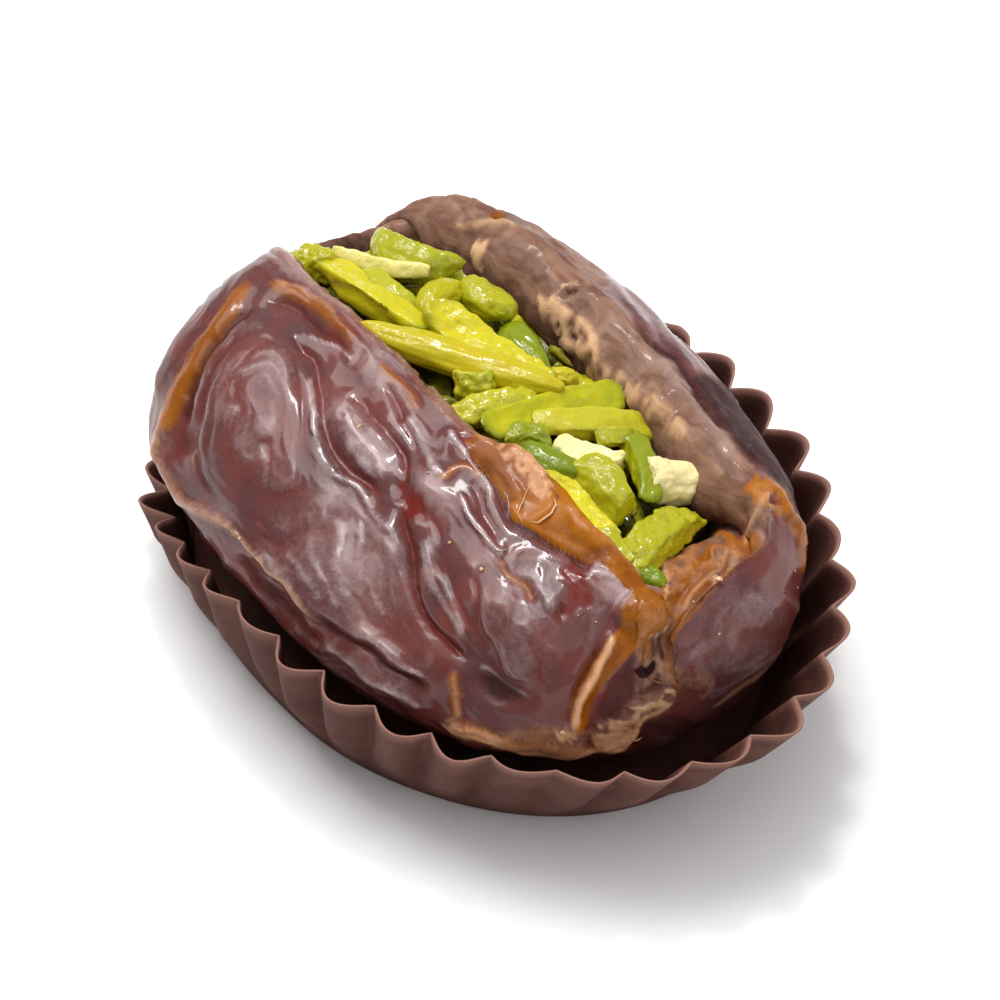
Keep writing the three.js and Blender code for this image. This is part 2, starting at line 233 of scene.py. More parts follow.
@dataclass
class Piece:
    """A mesh of the object, and what its makers do to it."""

    obj: bpy.types.Object
    name: str

    def __post_init__(self) -> None:
        """Names the object and its mesh."""
        self.obj.name = self.obj.data.name = self.name

    def read(self, name: str) -> Array:
        """What the mesh keeps at its points under a name, (n, 3)."""
        flat = np.empty(len(self.obj.data.vertices) * 3, np.float32)
        self.obj.data.vertices.foreach_get(name, flat)
        return flat.reshape(-1, 3).astype(float)

    @property
    def points(self) -> Array:
        """The mesh's points in millimetres, (n, 3)."""
        return self.read("co") / MM

    @points.setter
    def points(self, places: Array) -> None:
        """Moves the mesh's points to places in millimetres."""
        self.obj.data.vertices.foreach_set("co", (np.asarray(places) * MM).astype(np.float32).ravel())
        self.obj.data.update()

    @property
    def normals(self) -> Array:
        """The directions that the mesh faces at its points, (n, 3)."""
        return self.read("normal")

    def write(self, name: str, values: Array) -> None:
        """Keeps a number for each point of the mesh as an attribute."""
        found = self.obj.data.attributes.get(name) or self.obj.data.attributes.new(name, "FLOAT", "POINT")
        found.data.foreach_set("value", np.asarray(values, np.float32).ravel())

    def fill(self, **numbers: float) -> None:
        """Keeps the same number at every point of the mesh, for each name."""
        for name, number in numbers.items():
            self.write(name, np.full(len(self.obj.data.vertices), number))

    def copied(self, name: str) -> "Piece":
        """A copy of the piece with a mesh of its own."""
        obj = self.obj.copy()
        obj.data = self.obj.data.copy()
        bpy.context.scene.collection.objects.link(obj)
        return Piece(obj, name)

    def activate(self) -> None:
        """Selects this object alone and makes it the active one."""
        deselect_all()
        self.obj.select_set(True)
        bpy.context.view_layer.objects.active = self.obj

    @contextmanager
    def editing(self) -> Iterator[None]:
        """Opens edit mode with the whole mesh selected, and leaves it at the end."""
        self.activate()
        bpy.ops.object.mode_set(mode="EDIT")
        bpy.ops.mesh.select_all(action="SELECT")
        yield
        bpy.ops.object.mode_set(mode="OBJECT")

    def modify(self, kind: str, **settings: float | int | str | bool) -> None:
        """Adds a modifier with these settings and applies it."""
        modifier = self.obj.modifiers.new(kind.title(), kind)
        for name, value in settings.items():
            setattr(modifier, name, value)
        self.activate()
        bpy.ops.object.modifier_apply(modifier=modifier.name)

    def close(self, reach: float = 1e-3) -> None:
        """Merges points that lie within a reach in millimetres of each other, and turns the faces outward."""
        with self.editing():
            bpy.ops.mesh.remove_doubles(threshold=reach * MM)
            bpy.ops.mesh.normals_make_consistent(inside=False)

    def finish(self, material: bpy.types.Material, slot: str, *replaced: str) -> None:
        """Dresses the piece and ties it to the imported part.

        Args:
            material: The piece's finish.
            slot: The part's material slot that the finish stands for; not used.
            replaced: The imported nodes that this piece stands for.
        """
        self.obj.data.materials.append(material)
        self.activate()
        bpy.ops.object.shade_smooth()
        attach(self.obj, BODY)
        if replaced:
            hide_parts(*replaced)
        self.obj.data.calc_loop_triangles()
        log.info("%s: %d triangles", self.name, len(self.obj.data.loop_triangles))


def grid_piece(name: str, surface: Array, values: dict[str, Array] | None = None) -> Piece:
    """Moves the points of a flat grid onto a surface.

    Args:
        name: The piece's name.
        surface: The surface's points in millimetres, (rows, columns, 3).
        values: Numbers to keep at each point, each (rows, columns).

    Returns:
        The piece, with its seams not yet merged.
    """
    rows, columns = surface.shape[:2]
    deselect_all()
    bpy.ops.mesh.primitive_grid_add(x_subdivisions=columns - 1, y_subdivisions=rows - 1, size=2.0)
    piece = Piece(bpy.context.object, name)
    flat = piece.points * MM
    column = np.rint((flat[:, 0] + 1.0) / 2.0 * (columns - 1)).astype(int)
    row = np.rint((flat[:, 1] + 1.0) / 2.0 * (rows - 1)).astype(int)
    piece.points = surface[row, column]
    for key, numbers in (values or {}).items():
        piece.write(key, numbers[row, column])
    return piece


def joined(name: str, pieces: Sequence[Piece]) -> Piece:
    """Joins several pieces into one."""
    pieces[0].activate()
    for piece in pieces[1:]:
        piece.obj.select_set(True)
    bpy.ops.object.join()
    return Piece(pieces[0].obj, name)


# Shaders


class Value:
    """A number that varies over a surface, for use in expressions."""

    def __init__(self, shader: "Shader", socket: bpy.types.NodeSocket) -> None:
        """Wraps the socket that gives the number."""
        self.shader = shader
        self.socket = socket

    def _math(self, operation: str, *numbers: "Value | float") -> "Value":
        """Adds a Math node over these numbers."""
        node = self.shader.add("ShaderNodeMath", {"operation": operation}, dict(enumerate(numbers)))
        return Value(self.shader, node.outputs[0])

    def __add__(self, other: "Value | float") -> "Value":
        """This plus other."""
        return self._math("ADD", self, other)

    def __sub__(self, other: "Value | float") -> "Value":
        """This minus other."""
        return self._math("SUBTRACT", self, other)

    def __rsub__(self, other: float) -> "Value":
        """Other minus this."""
        return self._math("SUBTRACT", other, self)

    def __mul__(self, other: "Value | float") -> "Value":
        """This times other."""
        return self._math("MULTIPLY", self, other)

    __radd__ = __add__
    __rmul__ = __mul__

    def ramp(self, low: float, high: float) -> "Value":
        """Passes smoothly from 0 where this is at low to 1 where it is at high."""
        settings = {"interpolation_type": "SMOOTHSTEP", "clamp": True}
        node = self.shader.add("ShaderNodeMapRange", settings, {0: self, 1: low, 2: high})
        return Value(self.shader, node.outputs[0])


class Shader:
    """The nodes of one material."""

    def __init__(self, name: str) -> None:
        """Starts an empty material whose coordinates are in millimetres of the part's own frame."""
        self.material = bpy.data.materials.new(name)
        self.material.use_nodes = True
        self.material.node_tree.nodes.clear()
        place = self.add("ShaderNodeTexCoord").outputs["Object"]
        scaled = self.add("ShaderNodeVectorMath", {"operation": "SCALE"}, {0: place, "Scale": 1.0 / MM})
        self.place = scaled.outputs[0]

    def add(self, kind: str, settings: dict | None = None, inputs: dict | None = None) -> bpy.types.Node:
        """Adds a node.

        Args:
            kind: The node's type.
            settings: The node's own settings, set first.
            inputs: The value of each socket, or what is linked to it, by the socket's name or number.

        Returns:
            The node.
        """
        tree = self.material.node_tree
        node = tree.nodes.new(kind)
        for name, value in (settings or {}).items():
            setattr(node, name, value)
        for key, value in (inputs or {}).items():
            source = value.socket if isinstance(value, Value) else value
            if isinstance(source, bpy.types.NodeSocket):
                tree.links.new(source, node.inputs[key])
            else:
                node.inputs[key].default_value = source
        return node

    def attribute(self, name: str) -> Value:
        """The number that the mesh keeps under this name."""
        node = self.add("ShaderNodeAttribute", {"attribute_name": name})
        return Value(self, node.outputs["Fac"])

    def noise(
        self, per_mm: float, detail: float = 3.0, twist: float = 0.0, stretch: Triple | None = None
    ) -> Value:
        """Noise from 0 to 1.

        Args:
            per_mm: How many cells there are to a millimetre.
            detail: How many finer layers it has.
            twist: How far it is distorted.
            stretch: The factors on the coordinates, or None.

        Returns:
            The noise's value.
        """
        place = self.place
        if stretch:
            stretched = self.add("ShaderNodeVectorMath", {"operation": "MULTIPLY"}, {0: place, 1: stretch})
            place = stretched.outputs[0]
        inputs = {"Vector": place, "Scale": per_mm, "Detail": detail, "Distortion": twist}
        return Value(self, self.add("ShaderNodeTexNoise", None, inputs).outputs["Fac"])

    def mix(self, share: Value | float, first: object, second: object) -> bpy.types.NodeSocket:
        """Blends two colours; the second shows where the share is 1."""
        colours = [(*c, 1.0) if isinstance(c, tuple) else c for c in (first, second)]
        node = self.add("ShaderNodeMix", {"data_type": "RGBA"}, {0: share, 6: colours[0], 7: colours[1]})
        return node.outputs[2]

    def bump(self, height: Value, distance: float) -> bpy.types.NodeSocket:
        """The normal of a surface that a height from 0 to 1 lifts by a distance in millimetres."""
        inputs = {"Height": height, "Distance": distance * MM, "Strength": 1.0}
        return self.add("ShaderNodeBump", None, inputs).outputs[0]

    def surface(self, inputs: dict) -> bpy.types.Material:
        """Ends the material in a Principled surface with these inputs."""
        surface = self.add("ShaderNodeBsdfPrincipled", None, inputs)
        self.add("ShaderNodeOutputMaterial", None, {"Surface": surface.outputs[0]})
        return self.material


@dataclass(frozen=True)
class SkinFinish:
    """The date's skin, syrupy maroon with amber folds, a pale waxy film and painted sheen, and its brown
    fibrous flesh.
    """

    maroon: Colour = (0.14, 0.035, 0.029)
    plum: Colour = (0.085, 0.029, 0.029)
    # A greyish waxy film with painted sheen: the room's reflection laid into the skin's colour.
    bloom_and_sheen: Colour = (0.32, 0.205, 0.198)
    red: Colour = (0.14, 0.011, 0.005)
    amber: Colour = (0.34, 0.105, 0.001)
    rust: Colour = (0.2, 0.05, 0.001)
    peach: Colour = (0.62, 0.33, 0.17)
    cream: Colour = (0.61, 0.39, 0.215)
    # Painted highlight: the pale colour laid on ridges, crests and the flesh's torn edges where light catches
    # them.
    pale: Colour = (0.52, 0.41, 0.4)
    # Painted shade, near black, for creases, gaps, hollows and skin turned from the light.
    dark: Colour = (0.022, 0.006, 0.006)
    flesh_light: Colour = (0.27, 0.145, 0.095)
    flesh_deep: Colour = (0.13, 0.055, 0.036)

    def material(self) -> bpy.types.Material:
        """Makes the finish."""
        shader = Shader("date_skin")
        names = ("flesh", "crest", "valley", "streak", "sheen_haze", "pale", "red", "dark", "amber", "peach")
        flesh, crest, valley, streak, sheen_haze, pale, red, dark, amber, peach = map(shader.attribute, names)
        clouds = shader.noise(0.22, 4.0, 0.6)
        speck = shader.noise(2.0, 5.0, 0.9)
        grain = shader.noise(6.5, 3.0, 0.3)
        fibres = shader.noise(0.9, 6.0, 1.0, (0.4, 0.9, 0.9))

        skin = shader.mix(clouds.ramp(0.35, 0.65), self.maroon, self.plum)
        # Valleys turn red, the skin's own colour there, and darker, which is painted shade in them.
        skin = shader.mix(valley * 0.5, skin, self.red)
        # Painted sheen: the skin greys where the sheen patches, streaks and noise lay the room's reflection.
        sheen_veil = (sheen_haze * 0.95 + streak * 0.6 + clouds * 0.4 + speck * 0.7 - 0.68).ramp(0.0, 1.1)
        skin = shader.mix(sheen_veil * 0.8, skin, self.bloom_and_sheen)
        # Painted highlights on the pale marks, the crests and the streaks.
        gleam = (pale + crest * 0.3 + speck * 0.5 + streak * 0.15 - 0.5).ramp(0.0, 1.1)
        skin = shader.mix(gleam * (0.3 + 0.7 * speck), skin, self.pale)
        inner = shader.mix(fibres.ramp(0.28, 0.74), self.flesh_deep, self.flesh_light)
        # Painted highlights on the flesh's pale marks.
        inner = shader.mix(pale * (0.2 + 0.6 * fibres), inner, self.pale)
        colour = shader.mix(flesh, skin, inner)
        honey = shader.mix((streak * 0.6 + clouds * 0.5 + speck * 0.4).ramp(0.85, 0.3), self.amber, self.rust)
        edge = shader.mix(flesh * 0.7, self.peach, self.cream)
        # Red, amber and peach are the skin's own colours; the near-black mask is painted shade.
        for mask, strength, ragged, start, end, tone in (
            (red, 1.2, 0.7, 0.5, 1.0, self.red),
            (amber, 1.3, 0.5, 0.4, 0.75, honey),
            (peach, 1.2, 0.5, 0.45, 1.0, edge),
            (dark, 1.3, 0.4, 0.35, 0.9, self.dark),
        ):
            colour = shader.mix((mask * strength + speck * ragged - start).ramp(0.0, end), colour, tone)

        bare = 1.0 - flesh
        gloss = (0.46 + 0.3 * pale + 0.4 * crest - 0.6 * dark).ramp(0.0, 1.0)
        height = streak * bare * 0.35 + speck * 0.35 + grain * 0.1 + flesh * fibres * 0.3
        return shader.surface(
            {
                "Base Color": colour,
                "Roughness": 0.24 + 0.2 * speck + 0.12 * clouds + 0.24 * flesh + 0.3 * dark,
                "Specular IOR Level": 0.1,
                "Normal": shader.bump(height, 0.15),
                "Coat Weight": gloss * (1.0 - 0.6 * flesh) * (1.0 - 0.75 * amber),
                "Coat Roughness": 0.12,
                "Subsurface Weight": 0.1,
                "Subsurface Radius": (1.0, 0.25, 0.12),
                "Subsurface Scale": 0.8 * MM,
            }
        )


@dataclass(frozen=True)
class NutFinish:
    """Moist pistachio: yellow to lime where it is cut, green towards its rind, with a broken gloss."""

    yellow: Colour = (0.52, 0.39, 0.001)
    lime: Colour = (0.48, 0.42, 0.002)
    green: Colour = (0.14, 0.22, 0.001)
    butter: Colour = (0.72, 0.64, 0.05)
    pale: Colour = (0.93, 0.79, 0.4)
    rind: Colour = (0.15, 0.2, 0.003)
    # Painted shade for pieces deep in the heap.
    deep: Colour = (0.05, 0.045, 0.001)

    def material(self) -> bpy.types.Material:
        """Makes the finish."""
        shader = Shader("pistachio")
        names = ("green", "pale", "rind", "rough", "depth")
        green, pale, rind, rough, depth = map(shader.attribute, names)
        clouds = shader.noise(0.6, 3.0, 0.5)
        grain = shader.noise(2.6, 5.0, 0.3)
        sparkle = shader.noise(5.5, 3.0, 0.2)
        colour = shader.mix((green * 1.3 + clouds * 0.8 - 0.4).ramp(0.0, 0.6), self.yellow, self.lime)
        colour = shader.mix((green + clouds * 0.5 - 0.25).ramp(0.5, 1.0), colour, self.green)
        colour = shader.mix(pale * (0.5 + 0.6 * grain), colour, self.butter)
        colour = shader.mix((pale + grain * 0.3 - 0.85).ramp(0.0, 0.4), colour, self.pale)
        colour = shader.mix(rind * (0.1 + 0.8 * green), colour, self.rind)
        # Painted glints: butter-coloured specks where the coat sparkles.
        colour = shader.mix(sparkle.ramp(0.6, 0.75) * 0.2, colour, self.butter)
        # Painted shade: pieces deep in the heap darken towards near black.
        colour = shader.mix(depth * 0.92, colour, self.deep)
        height = (grain * 0.7 + sparkle * 0.25) * (0.25 + 0.75 * rough) + clouds * 0.15
        return shader.surface(
            {
                "Base Color": colour,
                "Roughness": 0.28 + 0.2 * grain,
                "Specular IOR Level": 0.1,
                "Normal": shader.bump(height, 0.22),
                "Coat Weight": 0.12 + 0.88 * sparkle.ramp(0.46, 0.56),
                "Coat Roughness": 0.09,
                "Subsurface Weight": 0.2,
                "Subsurface Radius": (1.0, 0.9, 0.15),
                "Subsurface Scale": 0.9 * MM,
            }
        )


@dataclass(frozen=True)
class PaperFinish:
    """Deep brown greaseproof paper, paler along its cut rim with a painted highlight."""

    brown: Colour = (0.12, 0.047, 0.035)
    shade: Colour = (0.06, 0.021, 0.017)
    # Painted highlight colour for the cut rim.
    rim: Colour = (0.26, 0.13, 0.1)

    def material(self) -> bpy.types.Material:
        """Makes the finish."""
        shader = Shader("case_paper")
        fibres = shader.noise(5.0, 4.0, 0.2)
        clouds = shader.noise(0.4, 2.0)
        colour = shader.mix(clouds.ramp(0.3, 0.7) * 0.6, self.brown, self.shade)
        # Painted highlight where light catches the cut rim.
        colour = shader.mix(shader.attribute("rim"), colour, self.rim)
        return shader.surface(
            {
                "Base Color": colour,
                "Roughness": 0.55 + 0.25 * fibres,
                "Normal": shader.bump(fibres, 0.05),
                "Specular IOR Level": 0.15,
            }
        )


@dataclass(frozen=True)
class FloorFinish:
    """A plain pale floor."""

    colour: Colour = (0.93, 0.93, 0.93)
    roughness: float = 0.8

    def material(self) -> bpy.types.Material:
        """Makes the finish."""
        shader = Shader("floor")
        return shader.surface({"Base Color": (*self.colour, 1.0), "Roughness": self.roughness})


# The view


@dataclass(frozen=True)
class PhotoView:
    """The view that fits the date and its case to their outlines in the photograph.

    Attributes:
        azimuth: Where the camera stands, in degrees round the part.
        elevation: How far it looks down, in degrees.
        distance: How far it is from the point it was fitted to, in millimetres.
        pixels_per_mm: The photograph's scale at that point.
        middle: The pixel where that point lies.
        aim_height: The point's height above the part's origin, in millimetres.
        framed: The left and top of the square that is framed, and its side, in pixels.
        sensor: The width of the camera's sensor, in millimetres.
    """

    azimuth: float = 53.0
    elevation: float = 45.0
    distance: float = 700.0
    pixels_per_mm: float = 4.8
    middle: Pixel = (389.9, 437.1)
    aim_height: float = 11.0
    framed: Triple = (232.0, 280.0, 320.0)
    sensor: float = 36.0

    @property
    def axes(self) -> tuple[Array, Array, Array]:
        """The view's right, up and back directions."""
        turn, rise = math.radians(self.azimuth), math.radians(self.elevation)
        right = np.array([math.cos(turn), math.sin(turn), 0.0])
        back = np.array([math.sin(turn) * math.cos(rise), -math.cos(turn) * math.cos(rise), math.sin(rise)])
        return right, np.cross(back, right), back

    def pixels(self, points: Array) -> Array:
        """Gives the pixel where each point shows.

        Args:
            points: The points in millimetres, (..., 3).

        Returns:
            The pixels, (..., 2).
        """
        right, up, back = self.axes
        off = points - np.array([0.0, 0.0, self.aim_height])
        scale = self.pixels_per_mm * self.distance / (self.distance - off @ back)
        across, down = self.middle[0] + scale * (off @ right), self.middle[1] - scale * (off @ up)
        return np.stack([across, down], axis=-1)

    def add_camera(self) -> None:
        """Puts the camera where the photograph was taken from, aimed at the middle of the framed square."""
        right, up, back = self.axes
        left, top, side = self.framed
        aside = (left + side / 2 - self.middle[0]) / self.pixels_per_mm
        below = (top + side / 2 - self.middle[1]) / self.pixels_per_mm
        aim = np.array([0.0, 0.0, self.aim_height]) + aside * right - below * up
        turned = Matrix([[right[i], up[i], back[i]] for i in range(3)]).to_euler()
        bpy.ops.object.camera_add(location=Vector((aim + back * self.distance) * MM), rotation=turned)
        camera = bpy.context.object
        camera.data.sensor_width = self.sensor
        camera.data.lens = self.sensor * self.distance / (side / self.pixels_per_mm)
        camera.data.clip_start = 0.01
        bpy.context.scene.camera = camera


@dataclass(frozen=True)
class Light:
    """A square soft light that shines on the part.

    It stands towards the view's right, away behind the part and above it, in these shares. Its distance
    and side are in millimetres, and its power is in watts.
    """

    name: str
    right: float
    away: float
    rise: float
    distance: float
    side: float
    power: float


@dataclass
class Studio:
    """The pale floor and the soft lights, placed relative to the view."""

    view: PhotoView
    floor_side: float = 3000.0
    floor_drop: float = 0.05
    sky: float = 0.4
    lights: tuple[Light, ...] = (
        Light("key", -0.3, 0.4, 1.0, 620.0, 460.0, 3.3),
        Light("top", 0.0, 0.0, 1.0, 900.0, 900.0, 2.4),
        Light("spark", 0.0, 0.5, 1.0, 640.0, 90.0, 1.0),
        Light("fill", 0.9, -0.5, 0.7, 800.0, 700.0, 1.9),
    )

    def add_light(self, light: Light) -> None:
        """Adds one of the lights."""
        right, _, back = (Vector(axis) for axis in self.view.axes)
        away = Vector((-back.x, -back.y, 0.0)).normalized()
        towards = away * light.away + right * light.right + Vector((0.0, 0.0, light.rise))
        place = towards.normalized() * light.distance * MM
        turned = towards.to_track_quat("Z", "Y").to_euler()
        bpy.ops.object.light_add(type="AREA", location=place, rotation=turned)
        added = bpy.context.object
        added.name = light.name
        added.data.size = light.side * MM
        added.data.energy = light.power

    def build(self) -> None:
        """Adds the floor, the lights and the light of the room."""
        deselect_all()
        below = (0.0, 0.0, -self.floor_drop * MM)
        bpy.ops.mesh.primitive_plane_add(size=self.floor_side * MM, location=below)
        floor = bpy.context.object
        floor.name = "floor"
        floor.data.materials.append(FloorFinish().material())
        for light in self.lights:
            self.add_light(light)
        world = bpy.data.worlds.new("room")
        world.use_nodes = True
        room = world.node_tree.nodes["Background"].inputs
        room["Strength"].default_value = self.sky
        room["Color"].default_value = (1.0, 1.0, 1.0, 1.0)
        bpy.context.scene.world = world
        bpy.context.scene.view_settings.view_transform = "Standard"


# The date


class Hue(Enum):
    """What a mark does to the colour of the skin."""

    NONE = "none"
    AMBER = "amber"
    # Painted sheen: a greyish reflection of the room laid on the skin.
    SHEEN_HAZE = "sheen_haze"
    RED = "red"
    # Painted highlight.
    PALE = "pale"
    # Painted shade.
    DARK = "dark"
    PEACH = "peach"
    FLESH = "flesh"


NONE, AMBER, SHEEN_HAZE, RED, PALE, DARK, PEACH, FLESH = Hue


@dataclass(frozen=True)
class Fold:
    """A fold of the skin along a line.

    As in each of these marks, places are the photograph's pixels, the height is how far the skin stands
    proud in millimetres, or sinks where that is negative, and the strength is how much of the hue it takes,
    from 0 to 1.

    Attributes:
        width: How wide it is to each side, in pixels.
        skew: How many times wider it is to the right of the line's run than to the left.
    """

    line: tuple[Pixel, ...]
    height: float
    width: float
    hue: Hue = NONE
    strength: float = 0.0
    skew: float = 1.0


@dataclass(frozen=True)
class Patch:
    """A swell, a hollow or a coloured place of the skin: an oval about a centre.

    Attributes:
        radii: Its two half sizes, in pixels.
        turn: How far the first is turned from the photograph's right to its foot, in degrees.
    """

    centre: Pixel
    radii: Pixel
    turn: float
    height: float
    hue: Hue = NONE
    strength: float = 0.0


@dataclass(frozen=True)
class Area:
    """A coloured part of the skin inside an outline.

    Attributes:
        edge: How wide its soft edge is, in pixels.
        rough: How far torn bits stand out of it, in millimetres.
    """

    outline: tuple[Pixel, ...]
    height: float
    hue: Hue
    strength: float
    edge: float = 1.6
    rough: float = 0.0

    def share(self, points: Array) -> Array:
        """How far each point, (n, 2), is inside the outline, from 0 to 1."""
        closed = smooth_line((*self.outline, self.outline[0]), 3)
        distance, _, _ = line_reach(points, closed)
        inside = np.zeros(len(points), bool)
        for (x0, y0), (x1, y1) in zip(closed, closed[1:]):
            spans = (y0 > points[:, 1]) != (y1 > points[:, 1])
            if y0 != y1:
                inside ^= spans & (points[:, 0] < x0 + (points[:, 1] - y0) * (x1 - x0) / (y1 - y0))
        return smoothstep(np.where(inside, distance, -distance), -self.edge / 2, self.edge / 2)
